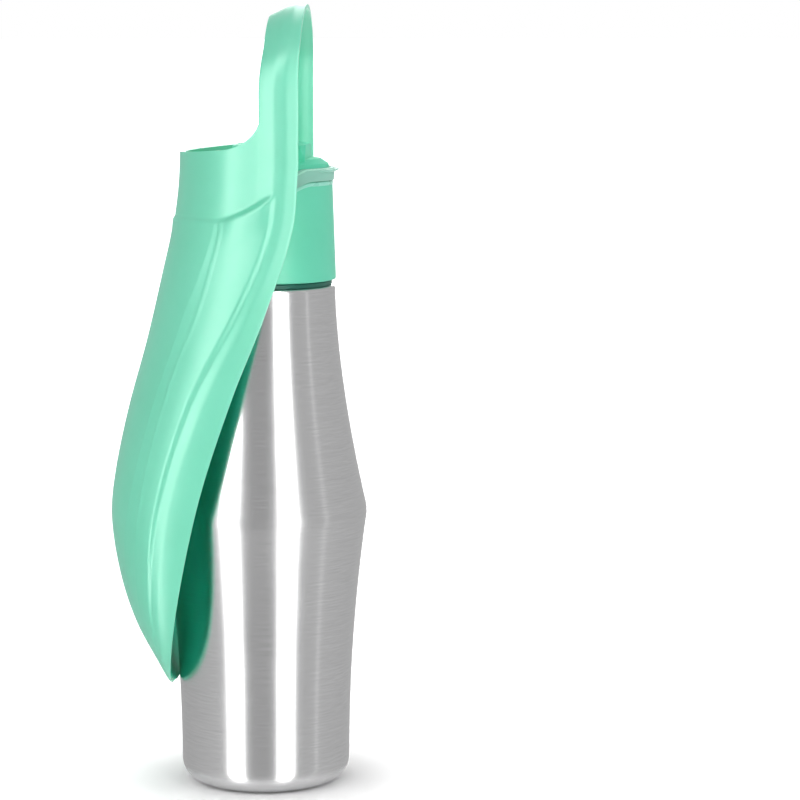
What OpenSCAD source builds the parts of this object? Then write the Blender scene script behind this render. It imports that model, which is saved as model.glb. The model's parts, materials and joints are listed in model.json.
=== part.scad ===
// Dog travel water bottle: a steel bottle, a screw cap with a swinging outlet cover,
// and a leaf-shaped drinking bowl that hinges on the cap and carries the loop.
// Millimetres. +Z is up, the origin is the middle of the base, the bowl is towards -Y
// and the hinge lies along X.

/* [Bottle] */
// Height from the floor to the shoulder under the cap
bottle_h = 197; // [177:1:217]
// Height of the widest line
bulge_z = 108.5; // [96:0.5:120]
// Width at the widest line
bulge_d = 81.2; // [76:0.2:85]
// Width just under the cap
shoulder_d = 56.2; // [53:0.2:58]
// Width above the bottom corner
base_d = 66.6; // [60:0.2:70]
// Radius of the bottom corner
base_corner_r = 9; // [6:0.5:13]
// Width of the flat ring that the bottle stands on
foot_ring_w = 4; // [2.5:0.5:6]
// Thickness of the steel
steel_t = 0.8; // [0.6:0.1:1.2]

/* [Neck] */
// Width of the steel throat inside the cap
throat_d = 44.8; // [40:0.2:45.4]
// Height of the throat above the shoulder
throat_h = 14; // [13:0.5:16]
// Height of the dark seal ring in the gap under the cap
neck_seal_h = 2; // [1.6:0.1:3]
// Width of the dark seal ring from its hole to its edge
neck_seal_w = 4.25; // [3:0.05:4.8]
// Rise of the thread in one turn
thread_pitch = 4; // [3:0.25:5]
// Turns of the thread
thread_turns = 1.5; // [1:0.25:2]
// How far the thread stands out of its wall
thread_depth = 1.4; // [1.1:0.1:1.6]
// Thickness of the washer that seals the throat
gasket_t = 1.8; // [1.2:0.1:2.5]

/* [Cap] */
// Width of the cap at its lower edge
cap_d = 56.6; // [55.6:0.2:58]
// Width of the cap at the top of its rim
cap_top_d = 54; // [53.6:0.2:55.6]
// Thickness of the cap's outer wall
cap_wall = 1.5; // [1.2:0.1:1.8]
// Thickness of the inner moulding that carries the thread
liner_wall = 1.5; // [1.2:0.1:1.6]
// Height of the hinge above the cap's lower edge
hinge_rise = 35.4; // [33:0.1:40]
// Height of the cap's rim above the hinge at the back
rim_rise = 3.2; // [2:0.2:4.4]
// Depth of the cap's rim below the hinge at the sides
rim_side_drop = 6.2; // [5.8:0.2:8]
// Width of the level stretch of the rim at the back
rim_flat_w = 36; // [28:0.5:38]
// How far the side lugs stand out from the hinge's middle
lug_reach = 29.5; // [29:0.1:29.8]

/* [Top] */
// Height of the flat top above the hinge
top_rise = 11.6; // [9:0.2:13]
// Width of the flat top
top_flat_d = 45; // [40:0.5:48]
// Height of the raised boss above the flat top
boss_h = 5.5; // [3:0.5:6]
// Width of the boss at its foot
boss_w = 33; // [26:0.5:34]
// Length of the boss from front to back
boss_l = 31; // [26:0.5:34]
// How far the boss's middle sits behind the hinge
boss_back = 2.2; // [0:0.2:4]
// Thickness of the top moulding's walls
top_wall = 2; // [1.6:0.1:2.4]
// Width of the outlet at the back
outlet_w = 16; // [10:0.5:18]
// Height of the outlet
outlet_h = 3.2; // [2.4:0.1:3.4]

/* [Outlet cover] */
// Inside radius of the cover band, measured from the hinge's middle
band_r = 27.5; // [27.3:0.1:27.7]
// Thickness of the cover band
band_t = 1.4; // [1:0.1:1.5]
// Height of the band at the back
band_h = 4.9; // [4.4:0.1:6]
// Radius of the eyes round the pins
eye_r = 5.8; // [5:0.1:5.9]
// How far the thumb lip stands out of the band
lip_reach = 1.6; // [1:0.1:1.8]
// Width of the thumb lip
lip_w = 34; // [20:1:36]

/* [Hinge] */
// Width of the hinge pins
pin_d = 4.4; // [3.6:0.1:5]
// Gap all round a pin in what turns on it
pin_gap = 0.05; // [0.02:0.01:0.09]
// Thickness of the spacer washers
washer_t = 0.45; // [0.35:0.05:0.5]

/* [Bowl] */
// Depth of the bowl's tip below the hinge
bowl_drop = 195; // [184:1:208]
// Half width of the bowl at its widest
bowl_half_w = 43.7; // [41:0.1:47]
// Height of the bowl's widest line above its tip
bowl_widest = 68; // [58:1:78]
// Depth of the bowl's front from the hinge, where it is deepest
bowl_depth = 59.4; // [56:0.2:66]
// Wall of the bowl
bowl_t = 2.2; // [1.8:0.1:2.6]
// Height of the cup's front rim above the hinge
cup_rise = 14.3; // [10:0.1:16]
// Depth of the small step under the cup
step_depth = 1; // [0.4:0.1:1.4]
// Height of the pleats on the bowl
pleat_depth = 0.8; // [0:0.1:1.2]

/* [Loop] */
// Height of the loop's top above the hinge
loop_rise = 70.9; // [64:0.1:82]
// Width of the loop outside
loop_w = 75.2; // [72:0.2:80]
// Width of the loop's band from front to back
loop_band_w = 14; // [10:0.2:16]
// Thickness of the loop at its back edge
loop_t = 3; // [2.4:0.1:3.6]

/* [Hidden] */
MINT = [0.49, 0.87, 0.73];
STEEL = [0.74, 0.74, 0.75];
LINER = [0.86, 0.94, 0.90];
SEAL_TEAL = [0.08, 0.42, 0.34];
SILICONE = [0.90, 0.90, 0.88];
CLEAR_SILICONE = [0.80, 0.84, 0.80, 0.7];

fit_gap = 0.05;       // pieces that are pushed or welded together
seat_gap = 0.15;      // flat faces that rest on each other
turn_gap = 0.3;       // pieces that turn past each other
eps = 0.01;

// Bottle
bulge_rad = bulge_d / 2;
throat_rad = throat_d / 2;
seal_rad = throat_rad + fit_gap + neck_seal_w;
shoulder_r = 1.4;     // radius of the shoulder's edge
shoulder_rad = max(shoulder_d / 2, seal_rad + shoulder_r);
base_rad = base_d / 2;
corner_r = min(base_corner_r, base_rad - foot_ring_w - 8);
foot_out = base_rad - corner_r;
foot_in = foot_out - foot_ring_w;
flare_power = 1.65;   // how late the upper body flares out
skirt_power = 2;      // how soon the lower body straightens
crease_half = 2.2;    // half height of the softened crease
wall_steps = 14;
throat_top = bottle_h + throat_h;
lip_bead_r = 0.6;
dish_rise = 3;        // rise of the base plate's middle
plate_gap = 0.3;
plate_flat_w = 1.5;   // flat of the plate inside the foot ring
plate_slope_w = 5;
plate_dome = 0.6;

// Neck, thread and seals
thread_ring_t = 0.8;
thread_root = throat_rad + fit_gap + thread_ring_t;
thread_crest = thread_root + thread_depth;
thread_w = 1.9;       // width of a thread's foot
thread_tip_w = 0.9;
thread_sink = 0.3;    // how far a thread's foot goes into its wall
thread_step = 12;     // degrees from one ring of points to the next
thread_run_in = 3;    // rings over which a thread grows to full height
thread_start = 0.3;   // share of its height that a thread starts with
ring_short = 2;       // how far the thread ring ends below the lip
lip_sink = 0.05;
liner_in = thread_crest + turn_gap + 0.1;
liner_out = liner_in + liner_wall;
thread_low = bottle_h + neck_seal_h + 3.2;

// Cap
cap_bottom = bottle_h + neck_seal_h + seat_gap;
hinge_z = cap_bottom + hinge_rise;
cap_rad = max(cap_d / 2, liner_out + fit_gap + cap_wall + 0.1);
cap_top_rad = min(cap_top_d / 2, cap_rad);
rim_z = hinge_z + rim_rise;
rim_side_z = hinge_z - rim_side_drop;
rim_curve = 1.7;      // how square the rim's line is
lug_w = 10;
lug_h = 7;
skirt_lift = 1;       // how far the thread moulding stands back from the cap's lower edge
deck_z = throat_top + seat_gap + gasket_t + seat_gap;
deck_t = 2;
port_r = 12;          // water way through the deck
cap_edge_r = 0.8;
cap_deck_share = (deck_z + deck_t - cap_bottom) / (rim_z - cap_bottom); // how high up the cap the deck is
cap_in = liner_out + fit_gap;
dome_seal_t = 1.2;
top_foot_z = deck_z + deck_t + dome_seal_t + 2 * seat_gap;

// Top moulding, all of it inside a ball round the hinge's middle
ball_r = band_r - 0.4;
top_bore_r = cap_top_rad - cap_wall;
bore_slope_h = 3 * max(0, cap_in - top_bore_r); // slope from the thread moulding's bore in to the top's
neck_fit_r = top_bore_r - fit_gap;
top_z = hinge_z + top_rise;
boss_top_z = top_z + boss_h;
boss_round = 4;
bevel_drop = 3;
bevel_d = 9;          // how much wider the top is at the bevel's foot
outlet_z = hinge_z + rim_rise + seat_gap + band_h / 2;
vent_d = 1.8;
vent_pitch = 5;
valve_stem_d = 3.6;
valve_stem_h = 7;
valve_skirt_r = 6.5;
valve_skirt_h = 1.4;

// Cover band
band_out = band_r + band_t;
band_low = rim_rise + seat_gap;
rim_edge = min(cap_top_rad - 0.8, sqrt(pow(band_r, 2) - pow(eye_r, 2)) - 0.2); // where the rim falls away
lip_t = 1.1;
upright_r = band_r + 0.45;  // radius of the band's upright outer face behind the eyes
eye_border = 0.4;     // how far the round of the eyes goes on before that face
pad_sink = 0.35;      // how far the seal pad is let into the band

// Hinge
pin_r = pin_d / 2;
pin_head_r = pin_r + 1.2;
pin_head_t = 1.2;
eye_hole_r = pin_r + pin_gap;
hollow_r = neck_fit_r - top_wall;   // inside of the top moulding
pin_in = sqrt(pow(min(ball_r - top_wall, hollow_r), 2) - pow(pin_head_r, 2)) - pin_head_t - seat_gap;
boss_face = band_out + seat_gap + washer_t + seat_gap;

// Bowl: sections across it, from the cup's rim down to the tip
loop_half_w = loop_w / 2;
leg_back = 16.8;      // back edge of the legs, behind the hinge
leg_front = leg_back - loop_band_w;
side_half_w = loop_half_w - 1;
tip_z = hinge_z - bowl_drop;
widest_z = tip_z + bowl_widest;
cup_z = hinge_z + cup_rise;
fillet_l = 18;        // length of the fillet from leg to cup rim
fillet_rise = 15;     // height of that fillet
cup_slope = 1.4;      // how much higher the cup's rim is at the fillet
leg_z = cup_z + fillet_rise + cup_slope;
cup_front = 32.1;     // front of the cup's rim, from the hinge
cup_swell = 1.9;      // how much further out the cup is at the step
step_z = hinge_z - 9; // the small step under the cup
rim_bend_z = hinge_z + 10;  // where the back edge leaves the legs' line
tip_back = 35.9;      // back edge of the tip, in front of the hinge
// How deep the front is, from the step (0) to the tip (1)
front_curve = [[0, 0], [0.04, 0.025], [0.11, 0.14], [0.27, 0.42], [0.42, 0.73], [0.55, 0.94], [0.64, 1],
               [0.76, 0.87], [0.86, 0.63], [0.95, 0.27], [1, 0.08]];
// How far forward the back edge has come, from the legs (0) to the tip (1)
back_curve = [[0, 0], [0.12, 0.045], [0.28, 0.25], [0.43, 0.48], [0.61, 0.71], [0.8, 0.875], [1, 1]];
section_power = 2.25;
end_power = 2.6;

// Loop
arch_z = leg_z + 5;
arch_top = hinge_z + loop_rise;
loop_taper = 3.2;     // how much smaller the loop's front edge is
loop_front_t = 2.1;
loop_lean = 0.8;      // how far the loop's top leans back
loop_round = 0.94;    // below 1 the loop is squarer than an ellipse

// The bowl's and the loop's skin: one sheet of cells
v_cup = 0.2;          // share of the rows that shape the cup's top edge
shape_z = step_z + 6; // where that share ends
leg_u = 0.17;         // how far a leg reaches round the section
leg_cells = 5;
front_cells = 26;
rows = 30;
arch_steps = 28;
cols = 2 * leg_cells + front_cells + 1;
loop_rows = arch_steps - 1;
skin = cols * (rows + 1);
strip = (leg_cells + 1) * loop_rows;
edge_thicken = 0.6;   // how much thicker the wall is at the back edge
pleat_u = [0.57, 0.7];      // where the pleats run, round the section
pleat_share = [1, 0.7];     // depth of each pleat
pleat_half_u = 0.05;
panel_u = 0.74;       // half width of the raised front panel, round the section
pleat_fade = 110;     // height above the tip where the pleats are full

// Bosses inside the bowl
boss_wall = 2.3;      // wall of a boss round its pin
boss_out = side_half_w * 0.96 - 0.8;
boss_bore = 2.8;      // depth of a boss's bore
rib_t = 2;
rib_h = 15;
rib_in = boss_face + 1.2;

// ---------- Points that follow a rule ----------

function lerp(a, b, t) = a + (b - a) * t;
function clamp01(t) = min(1, max(0, t));
function smooth(t) = let (c = clamp01(t)) c * c * (3 - 2 * c);
function unit(v) = v / norm(v);

// Radius of the steel body at height z
function upper_r(z) = lerp(shoulder_rad, bulge_rad, pow((bottle_h - z) / (bottle_h - bulge_z), flare_power));
function lower_r(z) = lerp(base_rad, bulge_rad, pow((z - corner_r) / (bulge_z - corner_r), skirt_power));

// The steel body's outline from the foot ring up to the shoulder, set in by t
function body_line(t) = concat(
    [for (i = [0 : 6]) let (a = -90 + 15 * i)
        [foot_out + (corner_r - t) * cos(a), corner_r + (corner_r - t) * sin(a)]],
    [for (i = [1 : wall_steps]) let (z = lerp(corner_r, bulge_z - crease_half, i / wall_steps))
        [lower_r(z) - t, z]],
    [[bulge_rad - 0.25 - t, bulge_z]],
    [for (i = [0 : wall_steps]) let (z = lerp(bulge_z + crease_half, bottle_h - shoulder_r, i / wall_steps))
        [upper_r(z) - t, z]],
    [for (i = [1 : 4]) let (a = 22.5 * i)
        [shoulder_rad - shoulder_r + (shoulder_r - t) * cos(a),
         bottle_h - shoulder_r + (shoulder_r - t) * sin(a)]]);

function reversed(list) = [for (i = [len(list) - 1 : -1 : 0]) list[i]];

// One ring of four points of a thread: foot low, foot high, crest high, crest low
function thread_ring_points(foot_r, crest_r, a, z, grow) = let (
    tip = lerp(foot_r, crest_r, grow),
    w = thread_w / 2,
    c = thread_tip_w / 2)
    [[foot_r * cos(a), foot_r * sin(a), z - w], [foot_r * cos(a), foot_r * sin(a), z + w],
     [tip * cos(a), tip * sin(a), z + c], [tip * cos(a), tip * sin(a), z - c]];

// Faces of a tube through rings of n points each, closed at both ends
function tube_faces(rings, n) = concat(
    [[for (k = [0 : n - 1]) k]],
    [for (i = [0 : rings - 2]) for (k = [0 : n - 1]) let (
        a = i * n + k, b = i * n + (k + 1) % n) [b, a, a + n]],
    [for (i = [0 : rings - 2]) for (k = [0 : n - 1]) let (
        a = i * n + k, b = i * n + (k + 1) % n) [b, a + n, b + n]],
    [[for (k = [n - 1 : -1 : 0]) (rings - 1) * n + k]]);

// A thread's ridge, from foot_r to crest_r, that starts at height z
module thread_ridge(foot_r, crest_r, z) {
    steps = round(thread_turns * 360 / thread_step);
    rings = [for (i = [0 : steps]) let (
        grow = min(1, lerp(thread_start, 1, min(i, steps - i) / thread_run_in)))
        thread_ring_points(foot_r, crest_r, i * thread_step, z + thread_pitch * i * thread_step / 360, grow)];
    points = [for (ring = rings) for (p = ring) p];
    faces = tube_faces(len(rings), 4);
    polyhedron(points, crest_r > foot_r ? faces : [for (f = faces) reversed(f)], convexity = 6);
}

// ---------- Bottle ----------

module bottle_shell() color(STEEL) rotate_extrude($fn = 120) {
    throat_in = throat_rad - steel_t;
    polygon(concat(
        [[foot_in, 0]],
        body_line(0),
        [[throat_rad, bottle_h], [throat_rad, throat_top - lip_bead_r],
         [throat_in, throat_top - lip_bead_r], [throat_in, bottle_h - steel_t]],
        reversed(body_line(steel_t)),
        [[foot_in, steel_t]]));
    translate([throat_rad - lip_bead_r - lip_sink, throat_top - lip_bead_r]) circle(r = lip_bead_r, $fn = 32);
}

module base_plate() color(STEEL) rotate_extrude($fn = 96) {
    low = steel_t + eps;
    plate_r = foot_out - plate_gap;
    line = [[0, low + dish_rise], [foot_in - plate_slope_w, low + dish_rise - plate_dome],
            [foot_in - plate_flat_w, low], [plate_r, low]];
    polygon(concat(line, reversed([for (p = line) p + [0, steel_t]])));
}

module thread_ring() color(STEEL) {
    difference() {
        translate([0, 0, bottle_h + neck_seal_h])
            cylinder(r = thread_root, h = throat_h - neck_seal_h - ring_short, $fn = 96);
        translate([0, 0, bottle_h]) cylinder(r = throat_rad + fit_gap, h = throat_h, $fn = 96);
    }
    thread_ridge(thread_root - thread_sink, thread_crest, thread_low + thread_pitch / 2);
}

module neck_seal() color(SEAL_TEAL) difference() {
    translate([0, 0, bottle_h + eps]) cylinder(r = seal_rad, h = neck_seal_h - 2 * eps, $fn = 96);
    translate([0, 0, bottle_h - 1]) cylinder(r = throat_rad + fit_gap, h = neck_seal_h + 2, $fn = 96);
}

module lid_gasket() color(SILICONE) difference() {
    translate([0, 0, throat_top + seat_gap]) cylinder(r = liner_in - turn_gap, h = gasket_t, $fn = 96);
    translate([0, 0, throat_top]) cylinder(r = throat_rad - steel_t - 1, h = gasket_t + 1, $fn = 96);
}

// ---------- Cap ----------

// The rim's line seen from behind: level in the middle, falling in a curve to the sides
function rim_line(level, low, edge) = let (
    flat = rim_flat_w / 2,
    run = edge - flat)
    [for (i = [0 : 8]) let (t = i / 8) [flat + run * t, lerp(low, level, sqrt(1 - pow(t, rim_curve)))]];

// Everything above the cap's rim, as a prism along Y, raised by lift
module above_rim(lift = 0) {
    side = rim_line(rim_z + lift, rim_side_z + lift, rim_edge);
    far = cap_rad + 10;
    rotate([90, 0, 0]) translate([0, 0, -far]) linear_extrude(height = 2 * far)
        polygon(concat(side, [[far, rim_side_z + lift], [far, arch_top], [-far, arch_top],
            [-far, rim_side_z + lift]], reversed([for (p = side) [-p[0], p[1]]])));
}

module cap_shell() color(MINT) difference() {
    union() {
        rotate_extrude($fn = 120) polygon([
            [cap_in, cap_bottom], [cap_rad - cap_edge_r, cap_bottom], [cap_rad - 0.25 * cap_edge_r,
             cap_bottom + 0.25 * cap_edge_r], [cap_rad, cap_bottom + cap_edge_r],
            [max(cap_in + 0.8 * cap_wall, lerp(cap_rad, cap_top_rad, cap_deck_share)), deck_z + deck_t],
            [cap_top_rad, rim_z], [top_bore_r, rim_z], [top_bore_r, deck_z + deck_t + bore_slope_h],
            [cap_in, deck_z + deck_t]]);
        lugs();
    }
    above_rim();
}

// Ledges at the cap's sides, just under the eyes of the cover band
module lugs() for (side = [-1, 1]) intersection() {
    translate([side > 0 ? cap_top_rad - cap_wall : -lug_reach, -lug_w / 2, rim_side_z - lug_h])
        cube([lug_reach - cap_top_rad + cap_wall, lug_w, lug_h]);
    translate([0, 0, rim_side_z - lug_h])
        cylinder(r1 = cap_top_rad - 0.5, r2 = lug_reach + 2.5, h = lug_h, $fn = 64);
}

module cap_liner() color(LINER) {
    skirt_z = cap_bottom + skirt_lift;
    difference() {
        translate([0, 0, skirt_z]) cylinder(r = liner_out, h = deck_z + deck_t - skirt_z, $fn = 96);
        translate([0, 0, skirt_z - 1]) cylinder(r = liner_in, h = deck_z - skirt_z + 1, $fn = 96);
        translate([0, 0, deck_z - 1]) cylinder(r = port_r, h = deck_t + 2, $fn = 64);
    }
    thread_ridge(liner_in + thread_sink, liner_in - thread_depth, thread_low);
}

module dome_seal() color(SILICONE) difference() {
    translate([0, 0, deck_z + deck_t + seat_gap]) cylinder(r = neck_fit_r - 0.5, h = dome_seal_t, $fn = 96);
    translate([0, 0, deck_z + deck_t]) cylinder(r = neck_fit_r - 3, h = dome_seal_t + 1, $fn = 96);
}

// The top's flat, its bevel and its boss, all kept inside the ball; inset draws the hollow
module top_form(inset) {
    flat_z = top_z - inset;
    flat_r = top_flat_d / 2 - inset;
    intersection() {
        translate([0, 0, hinge_z]) sphere(r = ball_r - inset, $fn = 96);
        union() {
            translate([0, 0, flat_z - bevel_drop])
                cylinder(r1 = flat_r + bevel_d / 2, r2 = flat_r, h = bevel_drop, $fn = 96);
            translate([0, 0, top_foot_z - 1])
                cylinder(r = ball_r + 1, h = flat_z - bevel_drop - top_foot_z + 1, $fn = 96);
            boss_form(inset);
        }
    }
}

// The raised boss: a loaf along Y with round shoulders
module boss_form(inset) {
    half = boss_w / 2 - inset;
    steps = 6;
    shoulder = [for (i = [0 : steps]) let (a = 90 * i / steps)
        [half - boss_round + boss_round * cos(a), boss_top_z - inset - boss_h + boss_h * sin(a)]];
    rotate([90, 0, 0]) translate([0, 0, inset - boss_back - boss_l / 2])
        linear_extrude(height = boss_l - 2 * inset)
        polygon(concat([[half, hinge_z]], shoulder, reversed([for (p = shoulder) [-p[0], p[1]]]),
            [[-half, hinge_z]]));
}

module top_cover() color(MINT) difference() {
    union() {
        translate([0, 0, top_foot_z])
            cylinder(r = neck_fit_r, h = rim_side_z - top_foot_z, $fn = 96);
        intersection() {
            translate([0, 0, rim_side_z - 1])
                cylinder(r = neck_fit_r, h = boss_top_z - rim_side_z + 1, $fn = 96);
            top_form(0);
        }
        intersection() {
            top_form(0);
            above_rim(seat_gap);
        }
    }
    top_hollow();
    for (side = [-1, 1]) translate([0, 0, hinge_z]) rotate([0, side * 90, 0])
        cylinder(r = pin_r + 0.01, h = ball_r + 2, $fn = 48);
    translate([-outlet_w / 2, 0, outlet_z - outlet_h / 2]) cube([outlet_w, ball_r + 2, outlet_h]);
    vent_holes();
}

module top_hollow() {
    join_z = rim_side_z - 2;
    translate([0, 0, top_foot_z - 1]) cylinder(r = hollow_r, h = join_z - top_foot_z + 1, $fn = 96);
    intersection() {
        translate([0, 0, join_z - 0.5]) cylinder(r = hollow_r, h = boss_top_z - join_z, $fn = 96);
        top_form(top_wall);
    }
}

// Small air holes in the front face of the boss
module vent_holes() {
    for (x = [-vent_pitch, 0, vent_pitch])
        translate([x, boss_back - boss_l / 2 + top_wall + 1, boss_top_z - boss_h / 2]) rotate([90, 0, 0])
            cylinder(d = vent_d, h = 4 * top_wall, $fn = 24);
}

module vent_valve() color(SILICONE) {
    roof = boss_top_z - top_wall;
    translate([0, 0, roof - valve_stem_h - seat_gap]) cylinder(d = valve_stem_d, h = valve_stem_h, $fn = 32);
    translate([0, 0, roof - valve_stem_h - seat_gap])
        cylinder(r1 = valve_skirt_r, r2 = valve_skirt_r - 2, h = valve_skirt_h, $fn = 48);
}

// ---------- Cover band ----------

module spout_cover() color(CLEAR_SILICONE) difference() {
    union() {
        difference() {
            intersection() {
                band_shell();
                union() {
                    band_prism();
                    eye_discs();
                }
            }
            band_trim();
        }
        thumb_lip();
    }
    translate([-band_out - 1, 0, hinge_z]) rotate([0, 90, 0])
        cylinder(r = eye_hole_r, h = 2 * band_out + 2, $fn = 48);
    seal_pocket(0.02);
}

module band_shell() translate([0, 0, hinge_z]) difference() {
    sphere(r = band_out, $fn = 96);
    sphere(r = band_r, $fn = 96);
}

// What is cut off the band behind the eyes, so that it is upright outside like the cap's wall
module band_trim() {
    low = hinge_z - eye_r - 1;
    high = hinge_z + band_low + band_h + 1;
    difference() {
        translate([-band_out - 1, eye_r + eye_border, low]) cube([2 * band_out + 2, band_out, high - low]);
        translate([0, 0, low - 1]) cylinder(r = upright_r, h = high - low + 2, $fn = 96);
    }
}

module eye_discs() for (side = [-1, 1]) translate([0, 0, hinge_z]) rotate([0, side * 90, 0])
    cylinder(r = eye_r, h = band_out + 1, $fn = 64);

// The band's own outline seen from behind, an arch that follows the rim
module band_prism() {
    low = rim_line(hinge_z + band_low, hinge_z - eye_r, rim_edge);
    high = rim_line(hinge_z + band_low + band_h, hinge_z + eye_r * 0.45, band_out);
    far = band_out + 2;
    rotate([90, 0, 0]) translate([0, 0, -far]) linear_extrude(height = far - 0.5)
        polygon(concat(low, reversed(high), [for (p = high) [-p[0], p[1]]],
            reversed([for (p = low) [-p[0], p[1]]])));
}

// A wedge that stands out of the band's upper edge at the back
module thumb_lip() {
    z = hinge_z + band_low + band_h - lip_t - 0.6;
    back = sqrt(pow(band_out, 2) - pow(z - hinge_z, 2));
    intersection() {
        translate([-lip_w / 2, 0, z - 1]) cube([lip_w, band_out + lip_reach + 1, lip_t + 2]);
        rotate_extrude($fn = 96) polygon([[back - 1, z - 0.7], [back + lip_reach, z + lip_t - 0.5],
            [back + lip_reach, z + lip_t - 0.1], [back - 1, z + lip_t]]);
    }
}

// The pocket for the seal pad in the band's inner face; grow widens it for the pocket
module seal_pocket(grow) intersection() {
    translate([0, 0, hinge_z]) difference() {
        sphere(r = band_r + pad_sink + grow, $fn = 96);
        sphere(r = band_r - 0.15, $fn = 96);
    }
    translate([-outlet_w / 2 - 1 - grow, 0, outlet_z - outlet_h / 2 - 0.5 - grow])
        cube([outlet_w + 2 + 2 * grow, band_out, outlet_h + 1 + 2 * grow]);
}

module cover_seal() color(SILICONE) seal_pocket(0);

// ---------- Hinge ----------

module pivot_pin(side) color(STEEL) translate([0, 0, hinge_z]) rotate([0, side * 90, 0]) {
    translate([0, 0, pin_in]) cylinder(r = pin_head_r, h = pin_head_t, $fn = 48);
    translate([0, 0, pin_in]) cylinder(r = pin_r, h = boss_face + 2.4 - pin_in, $fn = 48);
}
module pivot_pin_left() pivot_pin(-1);
module pivot_pin_right() pivot_pin(1);

module pivot_washer(side) color(SILICONE) translate([0, 0, hinge_z]) rotate([0, side * 90, 0]) difference() {
    translate([0, 0, band_out + seat_gap]) cylinder(r = pin_r + 1.9, h = washer_t, $fn = 48);
    translate([0, 0, band_out]) cylinder(r = pin_r + 0.02, h = washer_t + 1, $fn = 48);
}
module pivot_washer_left() pivot_washer(-1);
module pivot_washer_right() pivot_washer(1);

// ---------- Bowl and loop ----------

// A smooth curve through points [x, y], with x rising
function curve_slope(p, i) = let (a = max(0, i - 1), b = min(len(p) - 1, i + 1))
    (p[b][1] - p[a][1]) / (p[b][0] - p[a][0]);
function curve_cell(p, x, i = 0) = i >= len(p) - 2 || x < p[i + 1][0] ? i : curve_cell(p, x, i + 1);
function curve(p, x) = let (
    i = curve_cell(p, x),
    h = p[i + 1][0] - p[i][0],
    s = (x - p[i][0]) / h)
    (1 + 2 * s) * pow(1 - s, 2) * p[i][1] + s * pow(1 - s, 2) * h * curve_slope(p, i)
    + s * s * (3 - 2 * s) * p[i + 1][1] + s * s * (s - 1) * h * curve_slope(p, i + 1);

// Front of the bowl at height z: upright at the cup, out to its deepest, in to the tip
function front_y(z) = z > step_z
    ? -cup_front - cup_swell * pow((cup_z - z) / (cup_z - step_z), 2)
    : -lerp(cup_front + cup_swell, bowl_depth, curve(front_curve, clamp01((step_z - z) / (step_z - tip_z))));

// Back edge of the bowl at height z: upright at the legs, then forward to the tip
function rim_y(z) = leg_back - (leg_back + tip_back)
    * curve(back_curve, clamp01((rim_bend_z - z) / (rim_bend_z - tip_z)));

// Half width of the bowl's back edge at height z
function rim_x(z) = z > widest_z
    ? let (t = clamp01((hinge_z - z) / (hinge_z - widest_z))) lerp(side_half_w, bowl_half_w, smooth(t))
    : bowl_half_w * pow(max(0, 1 - pow((widest_z - z) / (widest_z - tip_z), end_power)), 1 / end_power);

// Top edge of the cup and legs where the section passes y
function top_edge_z(y) = y > leg_front
    ? leg_z
    : y > leg_front - fillet_l
        ? let (t = (y - leg_front + fillet_l) / fillet_l) lerp(leg_z, cup_z + cup_slope, sqrt(1 - pow(t, 2)))
        : lerp(cup_z + cup_slope, cup_z, (leg_front - fillet_l - y) / (cup_front + leg_front - fillet_l));

// A point of the section at height z; u runs from -1 at the left edge to 1 at the right
function section(u, z) = let (
    a = 90 * (1 + u),
    p = 2 / section_power,
    c = cos(a),
    s = sin(a))
    [-sign(c) * rim_x(z) * pow(abs(c), p), lerp(rim_y(z), front_y(z), pow(s, p))];

// Pleats and the step, as a height outward from the plain bowl
function relief(u, z) = let (
    below = smooth((step_z + 8 * pow(abs(u), 2) - z) / 2.5),
    inner = smooth((panel_u - abs(u)) / pleat_half_u),
    fade = clamp01((z - tip_z) / pleat_fade),
    groove = pleat_share[0] * max(0, 1 - abs(abs(u) - pleat_u[0]) / pleat_half_u)
        + pleat_share[1] * max(0, 1 - abs(abs(u) - pleat_u[1]) / pleat_half_u))
    step_depth * below * inner * fade - pleat_depth * fade * below * groove;

// A point of the bowl's plain outside; v runs from 0 at the top edge to 1 at the tip
function row_z(v) = v < v_cup
    ? lerp(cup_z, shape_z, v / v_cup)
    : let (t = (v - v_cup) / (1 - v_cup)) lerp(shape_z, tip_z + 0.35, sin(90 * pow(t, 1.12)));
function plain_point(u, v) = let (
    z = row_z(v),
    lift = v < v_cup ? 1 - v / v_cup : 0,
    flat = section(u, z),
    up = z + lift * (top_edge_z(flat[1]) - cup_z),
    q = section(u, up))
    [q[0], q[1], up];

function bowl_normal(u, v) = let (
    e = 0.004,
    du = plain_point(min(1, u + e), v) - plain_point(max(-1, u - e), v),
    dv = plain_point(u, min(1, v + e)) - plain_point(u, max(0, v - e)))
    unit(cross(dv, du));

// Points across the legs and the cup: legs take leg_cells cells, the rest is spread evenly
function u_at(k) = let (
    n = 2 * leg_cells + front_cells)
    k <= leg_cells ? -1 + leg_u * k / leg_cells
    : k >= n - leg_cells ? 1 - leg_u * (n - k) / leg_cells
    : lerp(-1 + leg_u, 1 - leg_u, (k - leg_cells) / front_cells);

function bowl_point(k, i, side) = let (
    u = u_at(k),
    v = i / rows,
    p = plain_point(u, v),
    n = bowl_normal(u, v),
    t = bowl_t + edge_thicken * smooth((abs(u) - 0.85) / 0.15))
    p + n * (side == 0 ? relief(u, p[2]) : relief(u, p[2]) * 0.6 - t);

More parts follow.
